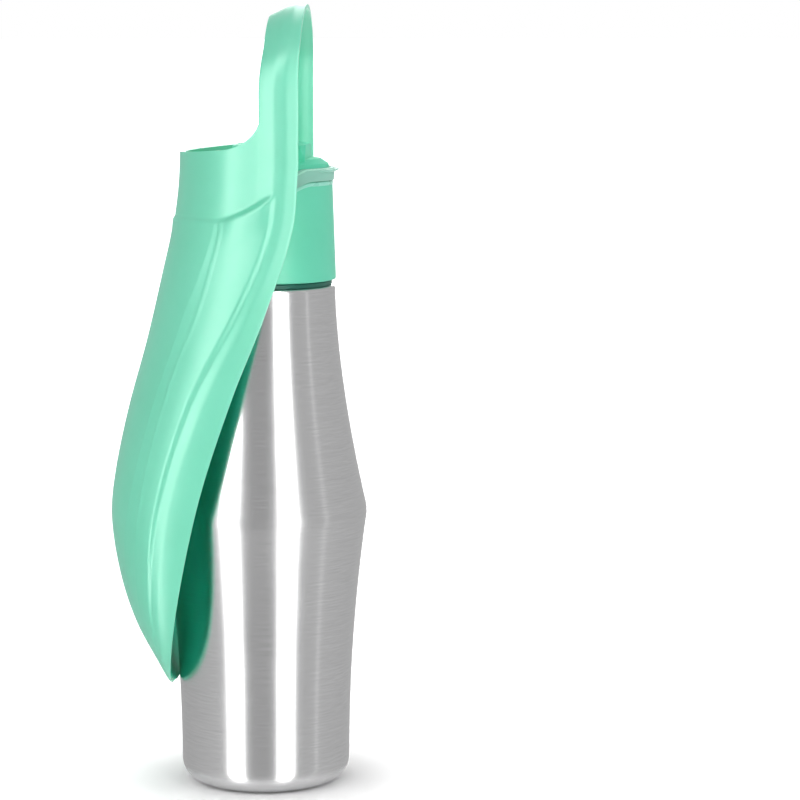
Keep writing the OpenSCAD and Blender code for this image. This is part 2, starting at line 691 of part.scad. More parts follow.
// The loop from the left leg over the top to the right leg; k runs from its back edge to its front
function arch_point(k, i, side) = let (
    a = 180 * i / arch_steps,
    f = k / leg_cells,
    thick = side == 0 ? 0 : lerp(loop_t, loop_front_t, f),
    foot = bowl_point(i <= arch_steps / 2 ? k : cols - 1 - k, 0, side),
    w = loop_half_w - loop_taper * f - thick,
    h = arch_top - arch_z - loop_taper * 1.3 * f - thick,
    wide = w * sign(cos(a)) * pow(abs(cos(a)), loop_round),
    ease = smooth(1 - abs(a > 90 ? 180 - a : a) / 40))
    [lerp(-wide, foot[0], ease), lerp(leg_back - loop_band_w * f + loop_lean * sin(a), foot[1], ease),
     i == 0 || i == arch_steps ? foot[2] : arch_z + h * pow(sin(a), loop_round)];

// One closed skin: outside and inside points of the bowl, then of the loop's inner rows
function bowl_id(k, i, side) = side * (skin + strip) + i * cols + k;
function loop_id(k, i, side) = i == 0 ? bowl_id(k, 0, side)
    : i == arch_steps ? bowl_id(cols - 1 - k, 0, side)
    : side * (skin + strip) + skin + (i - 1) * (leg_cells + 1) + k;
function quad(a, b, c, d) = [[a, b, c], [a, c, d]];
function flat_list(list) = [for (group = list) for (item = group) item];

module leaf_skin() {
    points = flat_list([for (side = [0, 1]) concat(
        [for (i = [0 : rows]) for (k = [0 : cols - 1]) bowl_point(k, i, side)],
        [for (i = [1 : loop_rows]) for (k = [0 : leg_cells]) arch_point(k, i, side)])]);
    outside = concat(
        [for (i = [0 : rows - 1]) for (k = [0 : cols - 2])
            quad(bowl_id(k, i, 0), bowl_id(k + 1, i, 0), bowl_id(k + 1, i + 1, 0), bowl_id(k, i + 1, 0))],
        [for (i = [0 : arch_steps - 1]) for (k = [0 : leg_cells - 1])
            quad(loop_id(k, i, 0), loop_id(k, i + 1, 0), loop_id(k + 1, i + 1, 0), loop_id(k + 1, i, 0))]);
    inside = concat(
        [for (i = [0 : rows - 1]) for (k = [0 : cols - 2])
            quad(bowl_id(k, i, 1), bowl_id(k, i + 1, 1), bowl_id(k + 1, i + 1, 1), bowl_id(k + 1, i, 1))],
        [for (i = [0 : arch_steps - 1]) for (k = [0 : leg_cells - 1])
            quad(loop_id(k, i, 1), loop_id(k + 1, i, 1), loop_id(k + 1, i + 1, 1), loop_id(k, i + 1, 1))]);
    edges = concat(
        [for (i = [0 : rows - 1]) quad(bowl_id(0, i, 0), bowl_id(0, i + 1, 0),
            bowl_id(0, i + 1, 1), bowl_id(0, i, 1))],
        [for (i = [0 : rows - 1]) quad(bowl_id(cols - 1, i, 1), bowl_id(cols - 1, i + 1, 1),
            bowl_id(cols - 1, i + 1, 0), bowl_id(cols - 1, i, 0))],
        [for (k = [0 : cols - 2]) quad(bowl_id(k, rows, 0), bowl_id(k + 1, rows, 0),
            bowl_id(k + 1, rows, 1), bowl_id(k, rows, 1))],
        [for (k = [leg_cells : cols - 2 - leg_cells]) quad(bowl_id(k, 0, 1), bowl_id(k + 1, 0, 1),
            bowl_id(k + 1, 0, 0), bowl_id(k, 0, 0))],
        [for (i = [0 : arch_steps - 1]) quad(loop_id(0, i, 1), loop_id(0, i + 1, 1),
            loop_id(0, i + 1, 0), loop_id(0, i, 0))],
        [for (i = [0 : arch_steps - 1]) quad(loop_id(leg_cells, i, 0), loop_id(leg_cells, i + 1, 0),
            loop_id(leg_cells, i + 1, 1), loop_id(leg_cells, i, 1))]);
    polyhedron(points, flat_list(concat(outside, inside, edges)), convexity = 10);
}

// A round boss inside the bowl that turns on a pin, with a rib under it
module bowl_boss(side) translate([0, 0, hinge_z]) {
    rotate([0, side * 90, 0]) translate([0, 0, boss_face])
        cylinder(r = pin_r + boss_wall, h = boss_out - boss_face, $fn = 48);
    rotate([90, 0, 0]) translate([0, 0, -rib_t / 2]) linear_extrude(height = rib_t)
        polygon([[side * rib_in, -pin_r - 1], [side * boss_out, -pin_r - 1], [side * boss_out, -rib_h]]);
}

module leaf_bowl() color(MINT) difference() {
    union() {
        leaf_skin();
        for (side = [-1, 1]) bowl_boss(side);
    }
    for (side = [-1, 1]) translate([0, 0, hinge_z]) rotate([0, side * 90, 0])
        translate([0, 0, boss_face - 1]) cylinder(r = eye_hole_r, h = boss_bore + 1, $fn = 48);
}

bottle_shell();
base_plate();
thread_ring();
neck_seal();
lid_gasket();
cap_shell();
cap_liner();
dome_seal();
top_cover();
vent_valve();
spout_cover();
cover_seal();
pivot_pin_left();
pivot_pin_right();
pivot_washer_left();
pivot_washer_right();
leaf_bowl();
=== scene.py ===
"""Looks of the dog travel water bottle: studio, camera, materials and moulded surfaces.

Lengths are millimetres until a mesh is made, because the sizes follow the part's own.
The hinge's height and what a CAD node's box states are read from the frame.
"""
import json
import math

import bmesh
import bpy
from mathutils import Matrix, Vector


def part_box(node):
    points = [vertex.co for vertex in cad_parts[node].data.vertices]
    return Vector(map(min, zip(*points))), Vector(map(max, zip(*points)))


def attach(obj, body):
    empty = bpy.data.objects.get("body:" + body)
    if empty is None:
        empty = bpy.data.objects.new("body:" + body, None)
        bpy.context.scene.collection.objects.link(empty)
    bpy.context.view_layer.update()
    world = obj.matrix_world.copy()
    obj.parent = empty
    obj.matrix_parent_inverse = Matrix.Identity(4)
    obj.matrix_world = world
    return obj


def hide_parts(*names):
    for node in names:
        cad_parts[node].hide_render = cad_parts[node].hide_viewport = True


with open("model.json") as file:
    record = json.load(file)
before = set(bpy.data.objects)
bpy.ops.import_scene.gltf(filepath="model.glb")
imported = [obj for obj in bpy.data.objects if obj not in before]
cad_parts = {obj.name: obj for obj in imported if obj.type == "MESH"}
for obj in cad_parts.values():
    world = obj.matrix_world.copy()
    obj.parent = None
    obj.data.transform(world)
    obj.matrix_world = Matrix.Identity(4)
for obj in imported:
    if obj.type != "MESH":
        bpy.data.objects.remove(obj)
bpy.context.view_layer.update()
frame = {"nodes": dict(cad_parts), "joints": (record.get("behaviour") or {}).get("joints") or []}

MM = 0.001
NODES = frame["nodes"]
JOINTS = {joint["name"]: joint for joint in frame["joints"]}


def node_box(name):
    """Lowest and highest corner of a CAD node, in millimetres."""
    low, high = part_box(name)
    return low / MM, high / MM


HINGE_Z = JOINTS["bowl_fold"]["pos_m"][2] / MM

# ---------------------------------------------------------------- camera
# Fitted to the photograph's left view, in an 800 x 800 frame.
PHOTO_PX = 800
FOCAL_PX = 3000
CAMERA_AT = (1164.2, 116.2, 300.4)
CAMERA_YAW = 93.09
CAMERA_PITCH = -7.27


def make_camera():
    data = bpy.data.cameras.new("camera")
    data.sensor_fit = "HORIZONTAL"
    data.sensor_width = 36
    data.lens = data.sensor_width * FOCAL_PX / PHOTO_PX
    data.clip_start = 0.05
    data.clip_end = 60
    camera = bpy.data.objects.new("camera", data)
    bpy.context.scene.collection.objects.link(camera)
    camera.location = Vector(CAMERA_AT) * MM
    camera.rotation_euler = (math.radians(90 + CAMERA_PITCH), 0, math.radians(CAMERA_YAW))
    bpy.context.scene.camera = camera


# ---------------------------------------------------------------- small curves
def lerp(a, b, t):
    return a + (b - a) * t


def clamp(t, low=0.0, high=1.0):
    return min(high, max(low, t))


def smooth(t):
    t = clamp(t)
    return t * t * (3 - 2 * t)


def curve(points, x):
    """A smooth curve through points (x, y), with x rising."""
    last = len(points) - 1

    def slope(i):
        a, b = max(0, i - 1), min(last, i + 1)
        return (points[b][1] - points[a][1]) / (points[b][0] - points[a][0])

    i = 0
    while i < last - 1 and x >= points[i + 1][0]:
        i += 1
    h = points[i + 1][0] - points[i][0]
    s = (x - points[i][0]) / h
    return (
        (1 + 2 * s) * (1 - s) ** 2 * points[i][1]
        + s * (1 - s) ** 2 * h * slope(i)
        + s * s * (3 - 2 * s) * points[i + 1][1]
        + s * s * (s - 1) * h * slope(i + 1)
    )


def bump_at(x, middle, half):
    """A round bump of height 1 at middle, gone at half on both sides."""
    return smooth(1 - abs(x - middle) / half)


# ---------------------------------------------------------------- mesh helpers
def new_object(name, points, faces, body, slot, materials):
    """A smooth mesh piece from points in millimetres, riding on a body; the slot is not used."""
    mesh = bpy.data.meshes.new(name)
    mesh.from_pydata([tuple(c * MM for c in p) for p in points], [], faces)
    mesh.validate()
    for material in materials:
        mesh.materials.append(material)
    work = bmesh.new()
    work.from_mesh(mesh)
    bmesh.ops.recalc_face_normals(work, faces=work.faces)
    work.to_mesh(mesh)
    work.free()
    for polygon in mesh.polygons:
        polygon.use_smooth = True
    thing = bpy.data.objects.new(name, mesh)
    bpy.context.scene.collection.objects.link(thing)
    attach(thing, body)
    return thing


def arc(r, z, radius, first, last, steps):
    """Points [r, z] on an arc round a middle, between two angles in degrees."""
    angles = [math.radians(lerp(first, last, i / steps)) for i in range(steps + 1)]
    return [(r + radius * math.cos(a), z + radius * math.sin(a)) for a in angles]


def ring_faces(n, rows, closed=False):
    """Faces between rows of n points each; closed joins the last row to the first."""
    faces = []
    for i in range(rows if closed else rows - 1):
        near, far = i * n, (i + 1) % rows * n
        faces += [(near + k, near + (k + 1) % n, far + (k + 1) % n, far + k) for k in range(n)]
    return faces


def lathe(outline, steps, closed=True):
    """Points and faces of an outline [r, z] turned round Z."""
    points = []
    for i in range(steps):
        a = 2 * math.pi * i / steps
        points += [(r * math.cos(a), r * math.sin(a), z) for r, z in outline]
    n = len(outline)
    faces = ring_faces(n, steps, closed=True)
    if not closed:
        faces = [face for face in faces if face[0] % n < n - 1]
    return points, faces


def bevel(thing, width, segments=3, angle=35):
    """Rounds the piece's edges that are sharper than an angle in degrees."""
    modifier = thing.modifiers.new("edges", "BEVEL")
    modifier.width = width * MM
    modifier.segments = segments
    modifier.limit_method = "ANGLE"
    modifier.angle_limit = math.radians(angle)
    modifier.use_clamp_overlap = True


# ---------------------------------------------------------------- materials
def new_material(name):
    """A new material with its nodes, links and Principled shader."""
    material = bpy.data.materials.new(name)
    material.use_nodes = True
    nodes = material.node_tree.nodes
    return material, nodes, material.node_tree.links, nodes["Principled BSDF"]


def math_node(nodes, links, operation, *values):
    """A Math node whose inputs are numbers or sockets."""
    node = nodes.new("ShaderNodeMath")
    node.operation = operation
    for socket, value in zip(node.inputs, values):
        if isinstance(value, (int, float)):
            socket.default_value = value
        else:
            links.new(value, socket)
    return node.outputs["Value"]


def noise(nodes, links, scale, detail, vector, roughness=0.5):
    node = nodes.new("ShaderNodeTexNoise")
    node.inputs["Scale"].default_value = scale
    node.inputs["Detail"].default_value = detail
    node.inputs["Roughness"].default_value = roughness
    links.new(vector, node.inputs["Vector"])
    return node.outputs["Fac"]


def remap(nodes, links, value, low, high, from_low=0.3, from_high=0.7):
    """Stretches a value's range from_low..from_high to low..high, and stops there."""
    node = nodes.new("ShaderNodeMapRange")
    node.inputs["From Min"].default_value = from_low
    node.inputs["From Max"].default_value = from_high
    node.inputs["To Min"].default_value = low
    node.inputs["To Max"].default_value = high
    links.new(value, node.inputs["Value"])
    return node.outputs["Result"]


def object_coords(nodes):
    return nodes.new("ShaderNodeTexCoord").outputs["Object"]


def bump(nodes, links, heights, normal_input):
    """Chains bumps (height socket, distance in mm, strength) into a normal input."""
    normal = None
    for height, distance, strength in heights:
        node = nodes.new("ShaderNodeBump")
        node.inputs["Distance"].default_value = distance * MM
        node.inputs["Strength"].default_value = strength
        links.new(height, node.inputs["Height"])
        if normal:
            links.new(normal, node.inputs["Normal"])
        normal = node.outputs["Normal"]
    links.new(normal, normal_input)


def two_tone(nodes, links, factor, first, second):
    """A colour between two, chosen by a factor that varies over the surface."""
    node = nodes.new("ShaderNodeMix")
    node.data_type = "RGBA"
    node.inputs["A"].default_value = (*first, 1)
    node.inputs["B"].default_value = (*second, 1)
    links.new(factor, node.inputs["Factor"])
    return node.outputs["Result"]


def plastic(name, color, deep, rough=0.55, coat=0.5, coat_rough=0.42, soft=0.1, gloss=1.0):
    """Moulded plastic: soft cloudy tone and a faint satin unevenness under a glossier skin."""
    material, nodes, links, shader = new_material(name)
    coords = object_coords(nodes)
    cloud = noise(nodes, links, scale=38, detail=2, vector=coords)
    peel = noise(nodes, links, scale=260, detail=1, vector=coords)
    tone = remap(nodes, links, cloud, 0, 1)
    links.new(two_tone(nodes, links, tone, deep, color), shader.inputs["Base Color"])
    links.new(remap(nodes, links, peel, rough - 0.03, rough + 0.03), shader.inputs["Roughness"])
    bump(nodes, links, [(peel, 0.012, 0.2)], shader.inputs["Normal"])
    shader.inputs["IOR"].default_value = 1.5
    shader.inputs["Specular IOR Level"].default_value = gloss
    shader.inputs["Subsurface Weight"].default_value = soft
    shader.inputs["Subsurface Radius"].default_value = (0.2, 1.0, 0.6)
    shader.inputs["Subsurface Scale"].default_value = 2.5 * MM
    shader.inputs["Coat Weight"].default_value = coat
    shader.inputs["Coat Roughness"].default_value = coat_rough
    shader.inputs["Coat IOR"].default_value = 1.9
    return material


def silicone(name, color, rough=0.42, through=0.0, soft=0.3):
    """Milky or dyed silicone with a dusty satin skin."""
    material, nodes, links, shader = new_material(name)
    coords = object_coords(nodes)
    dust = noise(nodes, links, scale=900, detail=4, vector=coords)
    cloud = noise(nodes, links, scale=60, detail=2, vector=coords)
    paler = tuple(min(1, c * 1.12 + 0.02) for c in color)
    tone = remap(nodes, links, cloud, 0, 1)
    links.new(two_tone(nodes, links, tone, color, paler), shader.inputs["Base Color"])
    links.new(remap(nodes, links, dust, rough - 0.05, rough + 0.06), shader.inputs["Roughness"])
    bump(nodes, links, [(dust, 0.02, 0.35)], shader.inputs["Normal"])
    shader.inputs["IOR"].default_value = 1.41
    shader.inputs["Transmission Weight"].default_value = through
    shader.inputs["Subsurface Weight"].default_value = soft
    shader.inputs["Subsurface Radius"].default_value = (1, 1, 1)
    shader.inputs["Subsurface Scale"].default_value = 2 * MM
    return material


def brushed_steel(name, color, rough=0.24, turned=0.75):
    """Steel brushed round Z: long scratches round the body, drawn out reflections up and down."""
    material, nodes, links, shader = new_material(name)
    split = nodes.new("ShaderNodeSeparateXYZ")
    links.new(object_coords(nodes), split.inputs["Vector"])
    around = math_node(nodes, links, "ARCTAN2", split.outputs["Y"], split.outputs["X"])

    def grain(per_turn, per_mm, detail):
        join = nodes.new("ShaderNodeCombineXYZ")
        links.new(math_node(nodes, links, "MULTIPLY", around, per_turn), join.inputs["X"])
        links.new(math_node(nodes, links, "MULTIPLY", split.outputs["Z"], per_mm / MM), join.inputs["Z"])
        return noise(nodes, links, 1, detail, join.outputs["Vector"], roughness=0.6)

    fine = grain(per_turn=5, per_mm=5.5, detail=4)
    coarse = grain(per_turn=1.6, per_mm=1.3, detail=3)
    cloud = noise(nodes, links, scale=25, detail=2, vector=object_coords(nodes))
    darker = tuple(c * 0.86 for c in color)
    fine_share = math_node(nodes, links, "MULTIPLY", fine, 0.6)
    coarse_share = math_node(nodes, links, "MULTIPLY", coarse, 0.4)
    streak = math_node(nodes, links, "ADD", fine_share, coarse_share)
    tone = remap(nodes, links, streak, 0, 1, 0.35, 0.65)
    links.new(two_tone(nodes, links, tone, darker, color), shader.inputs["Base Color"])
    links.new(remap(nodes, links, cloud, rough - 0.02, rough + 0.03), shader.inputs["Roughness"])
    bump(nodes, links, [(coarse, 0.010, 0.25), (fine, 0.006, 0.35)], shader.inputs["Normal"])
    tangent = nodes.new("ShaderNodeTangent")
    tangent.direction_type = "RADIAL"
    tangent.axis = "Z"
    links.new(tangent.outputs["Tangent"], shader.inputs["Tangent"])
    shader.inputs["Metallic"].default_value = 1
    shader.inputs["Anisotropic"].default_value = turned
    shader.inputs["Anisotropic Rotation"].default_value = 0.25
    return material


MINT = plastic("mint_plastic", (0.10, 0.71, 0.46), (0.085, 0.68, 0.43), coat=1.0)
# Shaded copy of the mint plastic for the bowl's inside: less red and little gloss, a painted shade
SHADED_INSIDE_MINT = plastic("bowl_inside_shaded_plastic", (0.03, 0.68, 0.43), (0.025, 0.65, 0.40), coat=0.0, gloss=0.3)
CAP_MINT = plastic("cap_mint_plastic", (0.09, 0.76, 0.49), (0.08, 0.73, 0.46), coat=0.5)
TOP_MINT = plastic("top_mint_plastic", (0.09, 0.76, 0.49), (0.08, 0.73, 0.46), coat=0.0)
# Paler mint on the cap rim's bead: a painted highlight
RIM_HIGHLIGHT_MINT = plastic("cap_rim_highlight_plastic", (0.30, 0.88, 0.68), (0.27, 0.86, 0.65), 0.3, coat=0.5)
PALE = plastic("pale_plastic", (0.70, 0.86, 0.79), (0.66, 0.83, 0.75), coat=0.1)
# Neck seal: dark teal silicone, darkened further with painted shade of the gap between cap and shoulder
DARK_SILICONE_AND_SHADE = silicone("dark_silicone", (0.004, 0.12, 0.085), 0.4, soft=0.05)
CLEAR_SILICONE = silicone("clear_silicone", (0.74, 0.78, 0.75), 0.45)
COVER_SILICONE = silicone("cover_silicone", (0.32, 0.70, 0.56), 0.42, through=0.1)
# Paler silicone on the cover's bead: a painted highlight along the band's top edge
HIGHLIGHT_BEAD_SILICONE = silicone("bead_highlight_silicone", (0.45, 0.88, 0.70), 0.3)
STEEL = brushed_steel("body_steel", (0.74, 0.74, 0.745))
PIN_STEEL = brushed_steel("pin_steel", (0.62, 0.62, 0.63), 0.28, 0.3)

NODE_LOOKS = {
    "bottle_shell": STEEL,
    "base_plate": STEEL,
    "thread_ring": STEEL,
    # dark silicone that also carries painted shade of the gap
    "neck_seal": DARK_SILICONE_AND_SHADE,
    "lid_gasket": CLEAR_SILICONE,
    "cap_shell": CAP_MINT,
    "cap_liner": PALE,
    "dome_seal": CLEAR_SILICONE,
    "top_cover": CAP_MINT,
    "vent_valve": CLEAR_SILICONE,
    "spout_cover": COVER_SILICONE,
    "cover_seal": CLEAR_SILICONE,
    "pivot_pin_left": PIN_STEEL,
    "pivot_pin_right": PIN_STEEL,
    "pivot_washer_left": CLEAR_SILICONE,
    "pivot_washer_right": CLEAR_SILICONE,
    "leaf_bowl": MINT,
}


def dress_nodes():
    for name, material in NODE_LOOKS.items():
        slots = NODES[name].data.materials
        slots.clear()
        slots.append(material)


# ---------------------------------------------------------------- steel body
BULGE_Z = 108.5
BULGE_R = 40.6
SHOULDER_R = 28.1
BASE_R = 33.3
CORNER_R = 9.0
FOOT_W = 4.0
SHOULDER_EDGE = 1.4
THROAT_R = 22.4
THROAT_H = 14.0
THROAT_EDGE = 0.3     # hollow corner where the throat meets the shoulder
STEEL_T = 0.8
LIP_R = 0.6
FLARE_POWER = 1.65
SKIRT_POWER = 2.0
CREASE_HALF = 3.2     # half the height of the soft crease at the widest line


def steel_outline():
    """The steel body's whole outline: foot, corner, skirt, soft crease, flare, throat, lip, inside."""
    top = node_box("bottle_shell")[1].z
    shoulder_z = top - THROAT_H
    lower_span = BULGE_Z - CORNER_R
    upper_span = shoulder_z - BULGE_Z

    def skirt(z):
        return lerp(BASE_R, BULGE_R, ((z - CORNER_R) / lower_span) ** SKIRT_POWER)

    def flare(z):
        return lerp(SHOULDER_R, BULGE_R, ((shoulder_z - z) / upper_span) ** FLARE_POWER)

    foot = BASE_R - CORNER_R
    edge_z = shoulder_z - SHOULDER_EDGE
    crease_low, crease_high = BULGE_Z - CREASE_HALF, BULGE_Z + CREASE_HALF
    line = [(foot - FOOT_W, 0)] + arc(foot, CORNER_R, CORNER_R, -90, 0, 12)
    for i in range(1, 25):
        z = lerp(CORNER_R, crease_low, i / 24)
        line.append((skirt(z), z))
    for i in range(1, 8):
        t = i / 8
        r = (1 - t) ** 2 * skirt(crease_low) + 2 * t * (1 - t) * BULGE_R + t * t * flare(crease_high)
        line.append((r, lerp(crease_low, crease_high, t)))
    for i in range(29):
        z = lerp(crease_high, edge_z, i / 28)
        line.append((flare(z), z))
    outside = [(r, z) for r, z in line if CORNER_R < z < edge_z]
    line += arc(SHOULDER_R - SHOULDER_EDGE, edge_z, SHOULDER_EDGE, 15, 90, 5)
    line += [(THROAT_R + THROAT_EDGE, shoulder_z), (THROAT_R, shoulder_z + THROAT_EDGE),
             (THROAT_R, top - 2 * LIP_R)]
    line += arc(THROAT_R - LIP_R, top - LIP_R, LIP_R, 0, 180, 8)
    line += [(THROAT_R - STEEL_T, top - 2 * LIP_R), (THROAT_R - STEEL_T, shoulder_z - STEEL_T)]
    line += [(r - STEEL_T, z) for r, z in reversed(outside)]
    line += arc(foot, CORNER_R, CORNER_R - STEEL_T, 0, -90, 6)
    line.append((foot - FOOT_W, STEEL_T))
    return line


def make_bottle():
    points, faces = lathe(steel_outline(), 192)
    body = new_object("steel_body", points, faces, "bottle", "body_steel", [STEEL])
    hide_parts("bottle_shell")


# ---------------------------------------------------------------- bowl and loop
LEG_BACK = 16.8
BAND_W = 14.0         # width of the loop's band, from back to front
LOOP_HALF = 37.6
LOOP_RISE = 70.9
SIDE_HALF = 36.6
BOWL_HALF = 43.7
BOWL_DEPTH = 59.4
BOWL_DROP = 195.0
BOWL_WIDEST = 68.0
TIP_Z = HINGE_Z - BOWL_DROP
WIDEST_Z = TIP_Z + BOWL_WIDEST
CUP_Z = HINGE_Z + 14.3
CUP_FRONT = 32.1
CUP_SWELL = 1.9
STEP_Z = HINGE_Z - 9  # where the cup ends and the ledge runs round the front
SHAPE_Z = STEP_Z + 6  # the rows follow the cup's sloping rim above this height
TIP_ROW = 0.35        # height of the last row above the tip
RIM_BEND_Z = HINGE_Z + 10
TIP_BACK = 35.9
FILLET_L = 18.0
FILLET_RISE = 15.0
CUP_SLOPE = 1.4
LEG_FRONT = LEG_BACK - BAND_W
LEG_Z = CUP_Z + FILLET_RISE + CUP_SLOPE
# How deep the front is, from the step (0) to the tip (1), and how far forward the back edge has come
FRONT_CURVE = [(0, 0), (0.04, 0.025), (0.11, 0.14), (0.27, 0.42), (0.42, 0.73), (0.55, 0.94),
               (0.64, 1), (0.76, 0.87), (0.86, 0.63), (0.95, 0.27), (1, 0.08)]
BACK_CURVE = [(0, 0), (0.12, 0.045), (0.28, 0.25), (0.43, 0.48), (0.61, 0.71), (0.8, 0.875), (1, 1)]
SECTION_POWER = 2.25
END_POWER = 2.6
WALL = 2.2
EDGE_THICKEN = 0.6    # the wall's gain towards its back edges, from EDGE_U on
EDGE_U = 0.85
EDGE_THIN = 0.7       # what the outermost part of a leg's edge loses again
EDGE_SHARE = 0.3
TIP_THIN = 0.4        # so the tip stays off the steel while the cap unscrews
TIP_THIN_H = 12.0
ARCH_Z = LEG_Z + 5
ARCH_TOP = HINGE_Z + LOOP_RISE
ARCH_EASE = 40        # degrees of the loop over which it grows out of a leg
LOOP_TAPER = 3.2
TOP_TAPER = 1.3 * LOOP_TAPER
LOOP_T = 3.0
LOOP_FRONT_T = 2.1
LOOP_ROUND = 0.94
LOOP_LEAN = 0.8

# The bowl's mesh: u runs from -1 at the left back edge to 1 at the right, v from the top edge down
LEG_U = 0.17          # share of half the way round that a leg takes
LEG_CELLS = 16
FRONT_CELLS = 130
COLUMNS = 2 * LEG_CELLS + FRONT_CELLS + 1
ROWS = 160
LEDGE_ROWS = ((0, 0.0), (14, 0.12), (64, 0.24), (ROWS, 1.0))    # row and v: close together at the ledge
CUP_SHARE = 0.2       # v where the rows stop following the cup's rim
ROW_POWER = 1.12
ARCH_STEPS = 72
NORMAL_STEP = 0.004

# Where the moulded lines run: height, then the share of the way round from the front to the back edge
CREASE_LINE = [(60, 0.40), (90, 0.45), (112, 0.51), (136, 0.525), (160, 0.525), (188, 0.55), (202, 0.58),
               (223, 0.61)]
RIDGE_LINE = [(60, 0.56), (95, 0.60), (113, 0.62), (136, 0.615), (157, 0.61), (172, 0.615), (187, 0.645),
              (224, 0.65)]
PANEL_EDGE = [(60, 0.72), (95, 0.74), (121, 0.755), (141, 0.763), (160, 0.785), (187, 0.855), (207, 0.89),
              (239, 0.905)]
FLANGE_LINE = [(60, 0.83), (126, 0.845), (142, 0.858), (160, 0.88), (189, 0.93), (207, 0.95), (239, 0.954)]
LEDGE_TURN_U = 0.6    # where the ledge leaves the front and climbs towards the leg
LEDGE_CLIMB = 75
LEDGE_POWER = 1.64
LEDGE_H = (2.0, 6.0)  # height over which the ledge runs out: at the front, and its gain up the side
SHOULDER = 0.9        # extra height under the ledge at the side, as a soft shoulder
SHOULDER_U = 0.91
SHOULDER_H = 16.0
RIM_LEAN = 1.1        # how far the flange's back edge lies in from its ridge
RIM_SHARE = 0.27      # share of a leg's width that leans to its back edge
FACE_LEAN = 1.0       # how far a leg's front face falls away forwards
FACE_SHARE = 0.56     # share of a leg's width where that face begins
PANEL_STEP = 0.9      # how far the panels stand out of the bowl
PANEL_FADE_H = 90.0   # height above the tip where they reach that
RIM_FADE_H = 60.0
FRONT_FALL = 0.6      # share of that step that is missing low at the front, at the bowl's deepest
FRONT_FALL_U = 0.35
FRONT_FALL_H = 60.0
FACET_LOW = 0.8       # share of the step that is left at the ridge, behind the side facet
CREASE_BEAD = (0.12, 0.02)      # height as a share of the step, and half width
RIDGE_BEAD = (0.22, 0.016)
PANEL_EDGE_U = 0.022  # width of the step down to the level band


def front_y(z):
    """Front of the bowl at height z: nearly upright at the cup, out to its deepest, in to the tip."""
    if z > STEP_Z:
        return -CUP_FRONT - CUP_SWELL * ((CUP_Z - z) / (CUP_Z - STEP_Z)) ** 2
    share = curve(FRONT_CURVE, clamp((STEP_Z - z) / (STEP_Z - TIP_Z)))
    return -lerp(CUP_FRONT + CUP_SWELL, BOWL_DEPTH, share)


def rim_y(z):
    """Back edge of the bowl at height z."""
    share = curve(BACK_CURVE, clamp((RIM_BEND_Z - z) / (RIM_BEND_Z - TIP_Z)))
    return LEG_BACK - (LEG_BACK + TIP_BACK) * share


def rim_x(z):
    """Half width of the bowl at its back edge."""
    if z > WIDEST_Z:
        return lerp(SIDE_HALF, BOWL_HALF, smooth((HINGE_Z - z) / (HINGE_Z - WIDEST_Z)))
    down = (WIDEST_Z - z) / (WIDEST_Z - TIP_Z)
    return BOWL_HALF * max(0, 1 - down ** END_POWER) ** (1 / END_POWER)


def top_edge_z(y):
    """Height of the cup's rim at y, rising in a fillet to the legs."""
    if y > LEG_FRONT:
        return LEG_Z
    if y > LEG_FRONT - FILLET_L:
        t = (y - LEG_FRONT + FILLET_L) / FILLET_L
        return lerp(LEG_Z, CUP_Z + CUP_SLOPE, math.sqrt(max(0, 1 - t * t)))
    return lerp(CUP_Z + CUP_SLOPE, CUP_Z, (LEG_FRONT - FILLET_L - y) / (CUP_FRONT + LEG_FRONT - FILLET_L))


def section(u, z):
    """Point on the bowl's outline at height z, from u = -1 at the left edge to 1 at the right."""
    a = math.pi / 2 * (1 + u)
    c, s = math.cos(a), max(0, math.sin(a))
    power = 2 / SECTION_POWER
    return (-math.copysign(abs(c) ** power, c) * rim_x(z), lerp(rim_y(z), front_y(z), s ** power))


def row_share(i):
    """The share v of row i."""
    for (row, share), (next_row, next_share) in zip(LEDGE_ROWS, LEDGE_ROWS[1:]):
        if i <= next_row:
            return lerp(share, next_share, (i - row) / (next_row - row))


def row_z(v):
    """Height of the rows before the cup's rim bends them."""
    if v < CUP_SHARE:
        return lerp(CUP_Z, SHAPE_Z, v / CUP_SHARE)
    t = (v - CUP_SHARE) / (1 - CUP_SHARE)
    return lerp(SHAPE_Z, TIP_Z + TIP_ROW, math.sin(math.pi / 2 * t ** ROW_POWER))


def plain_point(u, v):
    """A point of the bowl's outside without its relief."""
    z = row_z(v)
    lift = max(0, 1 - v / CUP_SHARE)
    flat = section(u, z)
    up = z + lift * (top_edge_z(flat[1]) - CUP_Z)
    return Vector((*section(u, up), up))


def plain_normal(u, v):
    left, right = max(-1, u - NORMAL_STEP), min(1, u + NORMAL_STEP)
    above, under = max(0, v - NORMAL_STEP), min(1, v + NORMAL_STEP)
    around = plain_point(right, v) - plain_point(left, v)
    down = plain_point(u, under) - plain_point(u, above)
    return down.cross(around).normalized()


def along(line, z):
    """The share at height z of a moulded line, held at its ends."""
    return curve(line, clamp(z, line[0][0], line[-1][0]))


def leg_relief(f):
    """Height across a leg from its back edge (0) to its front (1): leaning rim, level band, leaning face."""
    rim = RIM_LEAN * clamp(1 - f / RIM_SHARE)
    face = FACE_LEAN * clamp((f - FACE_SHARE) / (1 - FACE_SHARE))
    return -rim - face


def panel_height(w, z):
    """Height of the bowl's panels: front, light side facet, then the step down to the level band."""
    crease, ridge, edge = along(CREASE_LINE, z), along(RIDGE_LINE, z), along(PANEL_EDGE, z)
    if w < ridge:
        height = lerp(1.0, FACET_LOW, smooth((w - crease) / (ridge - crease)))
        low_front = (1 - smooth(w / FRONT_FALL_U)) * (1 - smooth((z - BULGE_Z) / FRONT_FALL_H))
        height -= FRONT_FALL * low_front
    else:
        height = lerp(FACET_LOW, 1.0, (w - ridge) / (edge - ridge))
    for line, (bead, half) in ((crease, CREASE_BEAD), (ridge, RIDGE_BEAD)):
        height += bead * bump_at(w, line, half)
    return PANEL_STEP * height * smooth((edge + PANEL_EDGE_U - w) / PANEL_EDGE_U)


